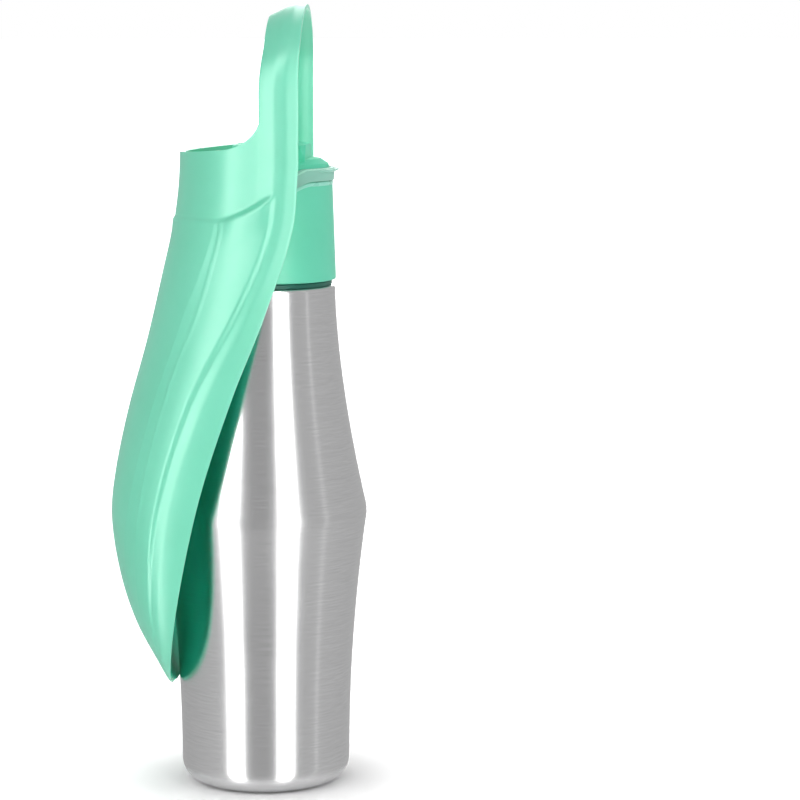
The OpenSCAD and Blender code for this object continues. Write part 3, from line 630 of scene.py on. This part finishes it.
def relief(u, z):
    """Moulded ledge, panels, ridges, level band and leaning rim of the bowl, as a height outward."""
    w = abs(u)
    turn = max(0, w - LEDGE_TURN_U)
    ledge_z = STEP_Z - 1 + LEDGE_CLIMB * turn ** LEDGE_POWER
    below = smooth((ledge_z - z) / (LEDGE_H[0] + LEDGE_H[1] * turn))
    shoulder = SHOULDER * smooth(turn / 0.15) * smooth((z - ledge_z + SHOULDER_H) / (SHOULDER_H - 2))
    shoulder *= smooth((SHOULDER_U - w) / 0.05)
    panels = (panel_height(w, z) + shoulder) * below * smooth((z - TIP_Z) / PANEL_FADE_H)
    flange = along(FLANGE_LINE, z)
    rim = RIM_LEAN * clamp((w - flange) / (1 - flange)) * smooth((z - TIP_Z) / RIM_FADE_H)
    face = FACE_LEAN * clamp(((1 - w) / LEG_U - FACE_SHARE) / (1 - FACE_SHARE)) * smooth((w - 0.62) / 0.2)
    return panels - rim - face * (1 - below)


def u_at(k):
    """The share u of column k."""
    last = COLUMNS - 1
    if k <= LEG_CELLS:
        return -1 + LEG_U * k / LEG_CELLS
    if k >= last - LEG_CELLS:
        return 1 - LEG_U * (last - k) / LEG_CELLS
    return lerp(-1 + LEG_U, 1 - LEG_U, (k - LEG_CELLS) / FRONT_CELLS)


def bowl_points(k, i):
    """The outside and the inside point of the bowl's wall in column k and row i."""
    u, v = u_at(k), row_share(i)
    point, normal = plain_point(u, v), plain_normal(u, v)
    height = relief(u, point.z)
    wall = WALL + EDGE_THICKEN * smooth((abs(u) - EDGE_U) / (1 - EDGE_U))
    wall -= TIP_THIN * (1 - smooth((point.z - TIP_Z) / TIP_THIN_H))
    wall -= EDGE_THIN * (1 - smooth((1 - abs(u)) / (EDGE_SHARE * LEG_U)))
    return point + normal * height, point + normal * (0.5 * max(0, height) - wall)


def arch_point(k, i, inside, foot):
    """Point k across the loop's band at step i of its arch; near a leg it eases into the leg's foot."""
    a = math.pi * i / ARCH_STEPS
    f = k / LEG_CELLS
    thin = EDGE_THIN * (1 - smooth(f / EDGE_SHARE))
    thick = lerp(LOOP_T, LOOP_FRONT_T, f) - thin if inside else 0
    sunk = leg_relief(f) * (0.5 if inside else 1)
    wide = LOOP_HALF - LOOP_TAPER * f - thick + sunk
    high = ARCH_TOP - ARCH_Z + RIM_LEAN - TOP_TAPER * f - thick + sunk
    x = -math.copysign(abs(math.cos(a)) ** LOOP_ROUND, math.cos(a)) * wide
    ease = smooth(1 - math.degrees(min(a, math.pi - a)) / ARCH_EASE)
    return Vector((
        lerp(x, foot.x, ease),
        lerp(LEG_BACK - BAND_W * f + LOOP_LEAN * math.sin(a), foot.y, ease),
        foot.z if i in (0, ARCH_STEPS) else ARCH_Z + high * math.sin(a) ** LOOP_ROUND,
    ))


def leaf_mesh():
    """One closed skin, outside and inside of bowl and loop, and the range of the bowl's inside points."""
    skin = COLUMNS * (ROWS + 1)
    side_count = skin + (LEG_CELLS + 1) * (ARCH_STEPS - 1)
    points = []
    pairs = [bowl_points(k, i) for i in range(ROWS + 1) for k in range(COLUMNS)]
    for inside in (False, True):
        grid = [pair[inside] for pair in pairs]
        points += grid
        for i in range(1, ARCH_STEPS):
            for k in range(LEG_CELLS + 1):
                foot = grid[k if i <= ARCH_STEPS / 2 else COLUMNS - 1 - k]
                points.append(arch_point(k, i, inside, foot))

    def bowl(k, i, side):
        return side * side_count + i * COLUMNS + k

    def loop(k, i, side):
        if i == 0:
            return bowl(k, 0, side)
        if i == ARCH_STEPS:
            return bowl(COLUMNS - 1 - k, 0, side)
        return side * side_count + skin + (i - 1) * (LEG_CELLS + 1) + k

    def wall_faces(number, columns, rows):
        """Faces of one side's grid, for outside and inside."""
        corners = ((0, 0), (1, 0), (1, 1), (0, 1))
        return [tuple(number(k + across, i + down, side) for across, down in corners)
                for side in (0, 1) for i in range(rows) for k in range(columns)]

    def edge_faces(number, places):
        """Faces that join outside and inside between neighbouring places (k, i)."""
        return [(number(*a, 0), number(*b, 0), number(*b, 1), number(*a, 1)) for a, b in places]

    faces = wall_faces(bowl, COLUMNS - 1, ROWS) + wall_faces(loop, LEG_CELLS, ARCH_STEPS)
    faces += edge_faces(bowl, [((k, i), (k, i + 1)) for i in range(ROWS) for k in (0, COLUMNS - 1)])
    faces += edge_faces(bowl, [((k, ROWS), (k + 1, ROWS)) for k in range(COLUMNS - 1)])
    faces += edge_faces(bowl, [((k, 0), (k + 1, 0)) for k in range(LEG_CELLS, COLUMNS - 1 - LEG_CELLS)])
    faces += edge_faces(loop, [((k, i), (k, i + 1)) for i in range(ARCH_STEPS) for k in (0, LEG_CELLS)])
    return points, faces, side_count, side_count + skin


SIDES = ((-1, "left"), (1, "right"))
BOSS_FACE = 29.65
BOSS_OUT = 32.2
BOSS_R = 4.5
BOSS_STEPS = 48
BOSS_EDGE = 0.3       # bevel at the mouth of the pin's bore
BOSS_ROUND = 0.5      # rounding of the boss's face
BOSS_FLARE = 0.6      # how much wider the boss is where it meets the wall
PIN_BORE_R = 2.25
BORE_DEPTH = 2.8
RIB_T = 2.0
RIB_H = 15.0
RIB_IN = 1.2          # how far the rib stays back from the boss's face and from the bore


def boss_mesh(side):
    """A hollow boss on the inside of the bowl's wall, turned round the hinge line."""
    outline = [(PIN_BORE_R, BOSS_FACE + BORE_DEPTH), (PIN_BORE_R, BOSS_FACE + BOSS_EDGE),
               (PIN_BORE_R + BOSS_EDGE, BOSS_FACE), (BOSS_R - BOSS_ROUND, BOSS_FACE),
               (BOSS_R - 0.15, BOSS_FACE + 0.15), (BOSS_R, BOSS_FACE + BOSS_ROUND),
               (BOSS_R, BOSS_OUT - 2.2), (BOSS_R + BOSS_FLARE - 0.1, BOSS_OUT - 1),
               (BOSS_R + BOSS_FLARE, BOSS_OUT)]
    points, faces = lathe(outline, BOSS_STEPS, closed=False)
    points = [(side * z, x, HINGE_Z + y) for x, y, z in points]
    faces.append(tuple(i * len(outline) for i in range(BOSS_STEPS)))
    return points, faces


def rib_mesh(side):
    """A three-cornered rib between a boss and the wall under it."""
    top, low = -PIN_BORE_R - RIB_IN, -RIB_H
    inner, outer = BOSS_FACE + RIB_IN, BOSS_OUT
    corners = [(inner, top), (outer, top), (outer, low)]
    points = [(side * x, y, HINGE_Z + z) for y in (-RIB_T / 2, RIB_T / 2) for x, z in corners]
    return points, [(0, 1, 2), (5, 4, 3), (0, 3, 4, 1), (1, 4, 5, 2), (2, 5, 3, 0)]


def make_leaf():
    points, faces, inside_first, inside_last = leaf_mesh()
    leaf = new_object("leaf_bowl_skin", points, faces, "bowl", "mint_plastic", [MINT, SHADED_INSIDE_MINT])
    for polygon in leaf.data.polygons:
        inside = inside_first <= min(polygon.vertices) < inside_last
        # The bowl's inside under the step gets the shaded copy of the mint: painted shade
        polygon.material_index = int(inside and polygon.center.z < STEP_Z * MM)
    bevel(leaf, 0.55, 3, 50)
    for side, word in SIDES:
        new_object("bowl_boss_" + word, *boss_mesh(side), "bowl", "mint_plastic", [MINT])
        rib = new_object("bowl_rib_" + word, *rib_mesh(side), "bowl", "mint_plastic", [MINT])
        bevel(rib, 0.3, 2)
    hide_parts("leaf_bowl")


# ---------------------------------------------------------------- cap
CAP_R = 28.3
CAP_TOP_R = 27.0
CAP_WALL = 1.5
CAP_IN = 26.6
CAP_ROWS = 12
BORE_SLOPE_H = 3.3
RIM_RISE = 3.2
RIM_DROP = 6.2
RIM_FLAT = 18.0       # half width of the rim's level middle
RIM_EDGE = 26.2       # half width where it has fallen to the sides
RIM_CURVE = 1.7
# Sections as [out, up]: the skirt's foot from its outer corner, the rim's bead from its outer top corner
CAP_FOOT = [(-0.8, 0), (-0.35, 0.1), (-0.1, 0.35)]
CAP_FOOT_H = 0.8
RIM_BEAD = [(0.02, -1.7), (0.16, -1.45), (0.26, -1.05), (0.26, -0.6), (0.12, -0.25), (-0.15, -0.05),
            (-0.45, 0)]
RIM_BEAD_H = 1.9
RIM_INNER = [(0.4, 0), (0.1, -0.12), (0, -0.45)]
BEAD_FIRST = 1 + len(CAP_FOOT) + 1 + CAP_ROWS     # the section's point where the bead begins
BEAD_LAST = BEAD_FIRST + 5                        # and the one where its painted highlight ends
DECK_GAP = 0.15       # between the cap's deck and the seal on it
LUG_IN = 26.0
LUG_OUT = 29.5
LUG_W = 10.0
LUG_H = 7.0
LUG_SLOPE_H = 3.8


def rim_height(x, level, low, edge):
    """Height above the hinge of the arched rim at x: level in the middle, falling to the sides."""
    t = clamp((abs(x) - RIM_FLAT) / (edge - RIM_FLAT))
    return lerp(low, level, math.sqrt(max(0, 1 - t ** RIM_CURVE)))


def rim_angles():
    """Angles round Z from the back (0) to a side (90), close together where the rim falls."""
    flat = math.degrees(math.asin(RIM_FLAT / CAP_TOP_R))
    edge = math.degrees(math.asin(RIM_EDGE / CAP_TOP_R))
    level = [flat * i / 14 for i in range(14)]
    falling = [lerp(flat, edge, 1 - (1 - i / 30) ** 2) for i in range(31)]
    beside = [lerp(edge, 90, i / 6) for i in range(1, 7)]
    return level + falling + beside


def cap_column(x, bottom, deck):
    """The cap's section as points [r, z], with a round bead along the rim."""
    top = HINGE_Z + rim_height(x, RIM_RISE, -RIM_DROP, RIM_EDGE)

    def outer(z):
        return lerp(CAP_R, CAP_TOP_R, (z - bottom) / (HINGE_Z + RIM_RISE - bottom))

    inner = CAP_TOP_R - CAP_WALL
    column = [(CAP_IN, bottom)] + [(CAP_R + out, bottom + up) for out, up in CAP_FOOT]
    for i in range(CAP_ROWS + 1):
        z = lerp(bottom + CAP_FOOT_H, top - RIM_BEAD_H, i / CAP_ROWS)
        column.append((outer(z), z))
    column += [(outer(top) + out, top + up) for out, up in RIM_BEAD]
    column += [(inner + out, top + up) for out, up in RIM_INNER]
    column += [(inner, deck + BORE_SLOPE_H), (CAP_IN, deck)]
    return column


def cap_mesh():
    """The cap's wall, and how many points its section has."""
    bottom = node_box("cap_shell")[0].z
    deck = node_box("dome_seal")[0].z - DECK_GAP
    quarter = rim_angles()
    angles = quarter + [180 - a for a in reversed(quarter[:-1])]
    angles += [360 - a for a in reversed(angles[1:-1])]
    points = []
    for angle in angles:
        a = math.radians(angle)
        column = cap_column(CAP_TOP_R * math.sin(a), bottom, deck)
        points += [(r * math.sin(a), r * math.cos(a), z) for r, z in column]
    return points, ring_faces(len(column), len(angles), closed=True), len(column)


def bar(points, n, rows):
    """The points with the faces of a bar: rows of n points, and both ends shut."""
    first, last = tuple(range(n)), tuple(range(rows * n - 1, (rows - 1) * n - 1, -1))
    return points, ring_faces(n, rows) + [first, last]


def lug_mesh(side):
    """A ledge at the cap's side, just under an eye of the cover band."""
    top = HINGE_Z - RIM_DROP
    low = top - LUG_H
    outline = [(LUG_IN, low + 0.8), (LUG_IN + 0.9, low), (LUG_OUT, low + LUG_SLOPE_H), (LUG_OUT, top),
               (LUG_IN, top)]
    points = [(side * x, y, z) for y in (-LUG_W / 2, LUG_W / 2) for x, z in outline]
    return bar(points, len(outline), 2)


def make_cap():
    points, faces, column = cap_mesh()
    cap = new_object("cap_wall", points, faces, "cap", "mint_plastic", [CAP_MINT, RIM_HIGHLIGHT_MINT])
    # The bead's faces get the paler rim mint: a painted highlight along the rim
    for polygon in cap.data.polygons:
        place = min(polygon.vertices) % column
        polygon.material_index = int(BEAD_FIRST <= place < BEAD_LAST)
    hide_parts("cap_shell")
    for side, word in SIDES:
        lug = new_object("cap_lug_" + word, *lug_mesh(side), "cap", "mint_plastic", [CAP_MINT])
        bevel(lug, 0.5)


TOP_RISE = 11.6       # height of the top cover's flat above the hinge
BOSS_START_Y = -8.0   # the top's boss is drawn together in front of this line
BOSS_LENGTH = 0.45    # to this share of its length
SHARP = 30            # degrees


def welded(mesh):
    """Points in millimetres and faces of a CAD node's triangles, with the flat ones joined."""
    work = bmesh.new()
    work.from_mesh(mesh)
    bmesh.ops.remove_doubles(work, verts=work.verts, dist=0.002 * MM)
    bmesh.ops.dissolve_limit(work, angle_limit=math.radians(0.4), verts=work.verts, edges=work.edges)
    work.verts.index_update()
    points = [vertex.co / MM for vertex in work.verts]
    faces = [tuple(vertex.index for vertex in face.verts) for face in work.faces]
    work.free()
    return points, faces


def make_top_moulding():
    """The top cover's own surface with its edges rounded and the front end of its boss pulled back."""
    points, faces = welded(NODES["top_cover"].data)
    for point in points:
        if point.z > HINGE_Z + TOP_RISE + 0.2 and point.y < BOSS_START_Y:
            point.y = BOSS_START_Y + BOSS_LENGTH * (point.y - BOSS_START_Y)
    piece = new_object("top_moulding", points, faces, "cap", "mint_plastic", [TOP_MINT])
    piece.data.set_sharp_from_angle(angle=math.radians(SHARP))
    bevel(piece, 0.45, 2, SHARP)
    weighted = piece.modifiers.new("normals", "WEIGHTED_NORMAL")
    weighted.keep_sharp = True
    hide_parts("top_cover")


def bead_mesh(path, radius, sides=10):
    """A round bead along a path of points, thinner at both ends."""
    points = []
    last = len(path) - 1
    for i, point in enumerate(path):
        ahead = (path[min(last, i + 1)] - path[max(0, i - 1)]).normalized()
        across = ahead.cross(Vector((0, 0, 1))).normalized()
        up = across.cross(ahead).normalized()
        grow = radius * clamp(min(i, last - i) / 3, 0.3, 1)
        for k in range(sides):
            a = 2 * math.pi * k / sides
            points.append(tuple(point + (across * math.cos(a) + up * math.sin(a)) * grow))
    return bar(points, sides, len(path))


BAND_IN = 27.5        # radii of the balls that the band and its eyes lie between
BAND_OUT = 28.9
BAND_SKIN = 0.02
BAND_LOW = 3.35
BAND_H = 4.9
BAND_LEAST_H = 3.4
BAND_FOOT_R = 27.6
BAND_TOP_R = 27.95
BAND_END_X = 26.6
BAND_TOP_FLAT = RIM_FLAT + 1.5
BAND_TOP_FALL = 12.0
BAND_TOP_EDGE = 27.0
BAND_COLUMNS = 90
BAND_ROWS = 6
BEAD_R = 0.36
BEAD_END_X = 25.8
EYE_R = 5.8
EYE_HOLE_R = 2.25
EYE_RIM = 1.2         # width of the eye's raised rim
EYE_DISH = 0.5        # depth of the dish inside it
LIP_HALF = 17.0
LIP_REACH = 1.55
LIP_STEPS = 40
LIP_ROOT = 0.5        # how far the lip starts inside the band's face


def band_heights(x):
    """Lower and upper edge of the cover band at x, above the hinge."""
    low = rim_height(x, BAND_LOW, -EYE_R, RIM_EDGE)
    t = clamp((abs(x) - BAND_TOP_FLAT) / (BAND_TOP_EDGE - BAND_TOP_FLAT))
    high = BAND_LOW + BAND_H - BAND_TOP_FALL * (1 - math.sqrt(1 - t ** RIM_CURVE))
    return low, max(high, low + BAND_LEAST_H)


def band_radius(z):
    """Outer radius of the band: nearly upright, and inside the ball near the eyes."""
    upright = lerp(BAND_FOOT_R, BAND_TOP_R, clamp((z - BAND_LOW) / BAND_H))
    return min(upright, math.sqrt(BAND_OUT ** 2 - z ** 2))


def band_mesh():
    """The cover band from eye to eye over the cap's back: outer face up, inner face down."""
    points = []
    for i in range(BAND_COLUMNS + 1):
        x = BAND_END_X * math.sin(math.pi / 2 * (2 * i / BAND_COLUMNS - 1))
        low, high = band_heights(x)
        for k in range(BAND_ROWS + 1):
            z = lerp(low, high, k / BAND_ROWS)
            points.append((x, math.sqrt(max(1, band_radius(z) ** 2 - x * x)), HINGE_Z + z))
        for k in range(BAND_ROWS + 1):
            z = lerp(high, low, k / BAND_ROWS)
            r_squared = (BAND_IN + BAND_SKIN) ** 2 - z * z
            points.append((x, math.sqrt(max(0.5, r_squared - x * x)), HINGE_Z + z))
    return bar(points, 2 * BAND_ROWS + 2, BAND_COLUMNS + 1)


def eye_mesh(side):
    """The band's round eye that turns on a pin, with a raised rim."""
    def ball(radius, r):
        return math.sqrt(radius ** 2 - r * r)

    dish_r = EYE_R - EYE_RIM - 0.3
    outline = [(EYE_HOLE_R, ball(BAND_IN, EYE_HOLE_R)), (EYE_R, ball(BAND_IN, EYE_R)),
               (EYE_R, ball(BAND_OUT, EYE_R)), (EYE_R - EYE_RIM, ball(BAND_OUT, EYE_R - EYE_RIM)),
               (dish_r, ball(BAND_OUT, dish_r) - EYE_DISH / 2), (EYE_HOLE_R + 0.9, BAND_OUT - EYE_DISH),
               (EYE_HOLE_R + 0.6, BAND_OUT - 0.12), (EYE_HOLE_R, BAND_OUT - 0.12)]
    points, faces = lathe(outline, 64)
    return [(side * z, x, HINGE_Z + y) for x, y, z in points], faces


def lip_mesh():
    """The thumb lip: a wedge that grows out of the band's upper edge at the back."""
    top = HINGE_Z + BAND_LOW + BAND_H
    root = BAND_TOP_R - LIP_ROOT
    points = []
    for i in range(LIP_STEPS + 1):
        x = LIP_HALF * (2 * i / LIP_STEPS - 1)
        grown = smooth((1 - abs(x) / LIP_HALF) / 0.2)
        out = BAND_TOP_R + lerp(-0.3, LIP_REACH, grown)
        for r, z in ((root, top - 1.9), (out, top - 0.95), (out, top - 0.6), (root, top - 0.3)):
            points.append((x, math.sqrt(r * r - x * x), z))
    return bar(points, 4, LIP_STEPS + 1)


def band_edge_path():
    """Where the band's outer face meets its top edge, from one eye over the back to the other."""
    path = []
    for i in range(81):
        x = BEAD_END_X * math.sin(math.pi / 2 * (i / 40 - 1))
        z = band_heights(x)[1] - 0.3
        r = band_radius(z) - 0.12
        path.append(Vector((x, math.sqrt(r * r - x * x), HINGE_Z + z)))
    return path


def make_cover():
    """The cover band with its bead, thumb lip and eyes."""
    band = new_object("cover_band", *band_mesh(), "cover", "cover_silicone", [COVER_SILICONE])
    bevel(band, 0.18, 2)
    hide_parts("spout_cover")
    # The bead gets the paler silicone: a painted highlight along the band's top edge
    new_object("cover_bead", *bead_mesh(band_edge_path(), BEAD_R), "cover", "cover_silicone", [HIGHLIGHT_BEAD_SILICONE])
    lip = new_object("cover_lip", *lip_mesh(), "cover", "cover_silicone", [COVER_SILICONE])
    bevel(lip, 0.12, 2)
    for side, word in SIDES:
        eye = new_object("cover_eye_" + word, *eye_mesh(side), "cover", "cover_silicone", [COVER_SILICONE])
        bevel(eye, 0.12, 2)


SEAL_EDGE = 0.3
SEAL_GAP = 0.05


def make_neck_seal():
    low, high = node_box("neck_seal")
    inner, outer = THROAT_R + SEAL_GAP, high.x
    outline = [(inner, low.z), (outer - SEAL_EDGE, low.z), (outer, low.z + SEAL_EDGE),
               (outer, high.z - SEAL_EDGE), (outer - SEAL_EDGE, high.z), (inner, high.z)]
    # The seal gets the dark silicone that also carries painted shade of the gap
    seal = new_object("neck_seal_ring", *lathe(outline, 128), "bottle", "dark_silicone", [DARK_SILICONE_AND_SHADE])
    bevel(seal, 0.12, 2, 20)
    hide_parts("neck_seal")


# ---------------------------------------------------------------- studio
FLOOR_R = 40.0
FLOOR_WHITE = 0.98
FLOOR_GLOW = (0.0, 0.66)        # near the bottle and further out, for the camera alone
FLOOR_GLOW_R = (0.034, 0.078)
FLOOR_MIRROR_R = (0.031, 0.042) # gloss sees the floor inside the first radius, and the studio beyond


def make_floor():
    """A white floor that keeps the bottle's soft shadow and is lost in the white further out."""
    steps = 96
    points = []
    for i in range(steps):
        a = 2 * math.pi * i / steps
        points.append((FLOOR_R * math.cos(a), FLOOR_R * math.sin(a), 0))
    mesh = bpy.data.meshes.new("floor")
    mesh.from_pydata(points, [], [tuple(range(steps))])
    floor = bpy.data.objects.new("floor", mesh)
    bpy.context.scene.collection.objects.link(floor)
    floor.location.z = -0.2 * MM
    material, nodes, links, shader = new_material("floor_white")
    nodes.remove(shader)
    output = nodes["Material Output"]
    diffuse = nodes.new("ShaderNodeBsdfDiffuse")
    diffuse.inputs["Color"].default_value = (FLOOR_WHITE, FLOOR_WHITE, FLOOR_WHITE, 1)
    away = nodes.new("ShaderNodeVectorMath")
    away.operation = "LENGTH"
    links.new(object_coords(nodes), away.inputs[0])
    path = nodes.new("ShaderNodeLightPath")
    glow = nodes.new("ShaderNodeEmission")
    level = remap(nodes, links, away.outputs["Value"], *FLOOR_GLOW, *FLOOR_GLOW_R)
    level = math_node(nodes, links, "MULTIPLY", level, path.outputs["Is Camera Ray"])
    links.new(level, glow.inputs["Strength"])
    both = nodes.new("ShaderNodeAddShader")
    clear = nodes.new("ShaderNodeBsdfTransparent")
    choose = nodes.new("ShaderNodeMixShader")
    links.new(diffuse.outputs["BSDF"], both.inputs[0])
    links.new(glow.outputs["Emission"], both.inputs[1])
    beyond = remap(nodes, links, away.outputs["Value"], 0, 1, *FLOOR_MIRROR_R)
    beyond = math_node(nodes, links, "MULTIPLY", path.outputs["Is Glossy Ray"], beyond)
    links.new(beyond, choose.inputs["Fac"])
    links.new(both.outputs["Shader"], choose.inputs[1])
    links.new(clear.outputs["BSDF"], choose.inputs[2])
    links.new(choose.outputs["Shader"], output.inputs["Surface"])
    mesh.materials.append(material)


# Tall softboxes round the set: azimuth from the bowl's side (degrees), half width, soft edge, strength
SOFTBOXES = [(53.7, 8.3, 4.0, 7.1), (122.8, 8.8, 4.0, 7.1), (168.6, 1.5, 2.0, 0.4),
              (-87, 8.5, 4.0, 3.2)]
# The walls as gloss shows them: azimuth, level
WALL_LIGHT = [(-180, 0.58), (-60, 0.47), (0, 0.56), (40, 0.63), (72, 0.45), (108, 0.45), (142, 0.56),
              (180, 0.58)]
# Heights in degrees above the horizon between which something sets in
SOFTBOX_LOW = (-64, -24)
SOFTBOX_TOP = (50, 82)
CEILING_AT = (35, 75)
BELOW_AT = (-65, -20)
CEILING = 0.42
LOW_GLOSS = 0.45      # added to the walls below the horizon
PLAIN_LIGHT = 0.84    # what lights all matt surfaces, the same from every side


def make_world():
    """White for the camera, one plain level for matt light, and walls and softboxes for gloss."""
    world = bpy.data.worlds.new("studio")
    bpy.context.scene.world = world
    world.use_nodes = True
    nodes, links = world.node_tree.nodes, world.node_tree.links
    background = nodes["Background"]

    def calc(operation, *values):
        return math_node(nodes, links, operation, *values)

    split = nodes.new("ShaderNodeSeparateXYZ")
    links.new(nodes.new("ShaderNodeTexCoord").outputs["Generated"], split.inputs["Vector"])
    front = calc("MULTIPLY", split.outputs["Y"], -1)
    azimuth = calc("DEGREES", calc("ARCTAN2", split.outputs["X"], front))
    height = calc("DEGREES", calc("ARCSINE", split.outputs["Z"]))

    walls = nodes.new("ShaderNodeValToRGB")
    links.new(calc("DIVIDE", calc("ADD", azimuth, 180), 360), walls.inputs["Fac"])
    ramp = walls.color_ramp
    while len(ramp.elements) < len(WALL_LIGHT):
        ramp.elements.new(0.5)
    for element, (angle, level) in zip(ramp.elements, WALL_LIGHT):
        element.position = (angle + 180) / 360
        element.color = (level, level, level, 1)
    light = walls.outputs["Color"]

    def soft_step(value, low, high):
        node = nodes.new("ShaderNodeMapRange")
        node.interpolation_type = "SMOOTHSTEP"
        node.inputs["From Min"].default_value = low
        node.inputs["From Max"].default_value = high
        links.new(value, node.inputs["Value"])
        return node.outputs["Result"]

    under_top = calc("SUBTRACT", 1, soft_step(height, *SOFTBOX_TOP))
    tall = calc("MINIMUM", soft_step(height, *SOFTBOX_LOW), under_top)
    ceiling = soft_step(height, *CEILING_AT)
    wall_share = calc("MULTIPLY", light, calc("SUBTRACT", 1, ceiling))
    shown = calc("ADD", wall_share, calc("MULTIPLY", ceiling, CEILING))
    for middle, half, edge, strength in SOFTBOXES:
        away = calc("ABSOLUTE", calc("SUBTRACT", azimuth, middle))
        inside = calc("SUBTRACT", 1, soft_step(away, half - edge, half + edge))
        box = calc("MULTIPLY", calc("MULTIPLY", inside, tall), strength)
        shown = calc("ADD", shown, box)
    below = calc("SUBTRACT", 1, soft_step(height, *BELOW_AT))
    shown = calc("ADD", shown, calc("MULTIPLY", below, LOW_GLOSS))
    path = nodes.new("ShaderNodeLightPath")

    def either(choice, first, second):
        node = nodes.new("ShaderNodeMix")
        links.new(choice, node.inputs["Factor"])
        for socket, value in ((node.inputs["A"], second), (node.inputs["B"], first)):
            if isinstance(value, float):
                socket.default_value = value
            else:
                links.new(value, socket)
        return node.outputs["Result"]

    strength = either(path.outputs["Is Glossy Ray"], shown, PLAIN_LIGHT)
    strength = either(path.outputs["Is Camera Ray"], 1.0, strength)
    background.inputs["Color"].default_value = (1, 1, 1, 1)
    links.new(strength, background.inputs["Strength"])


def make_studio():
    bpy.context.scene.view_settings.view_transform = "Standard"
    make_floor()
    make_world()


make_camera()
make_studio()
dress_nodes()
make_bottle()
make_leaf()
make_cap()
make_top_moulding()
make_cover()
make_neck_seal()
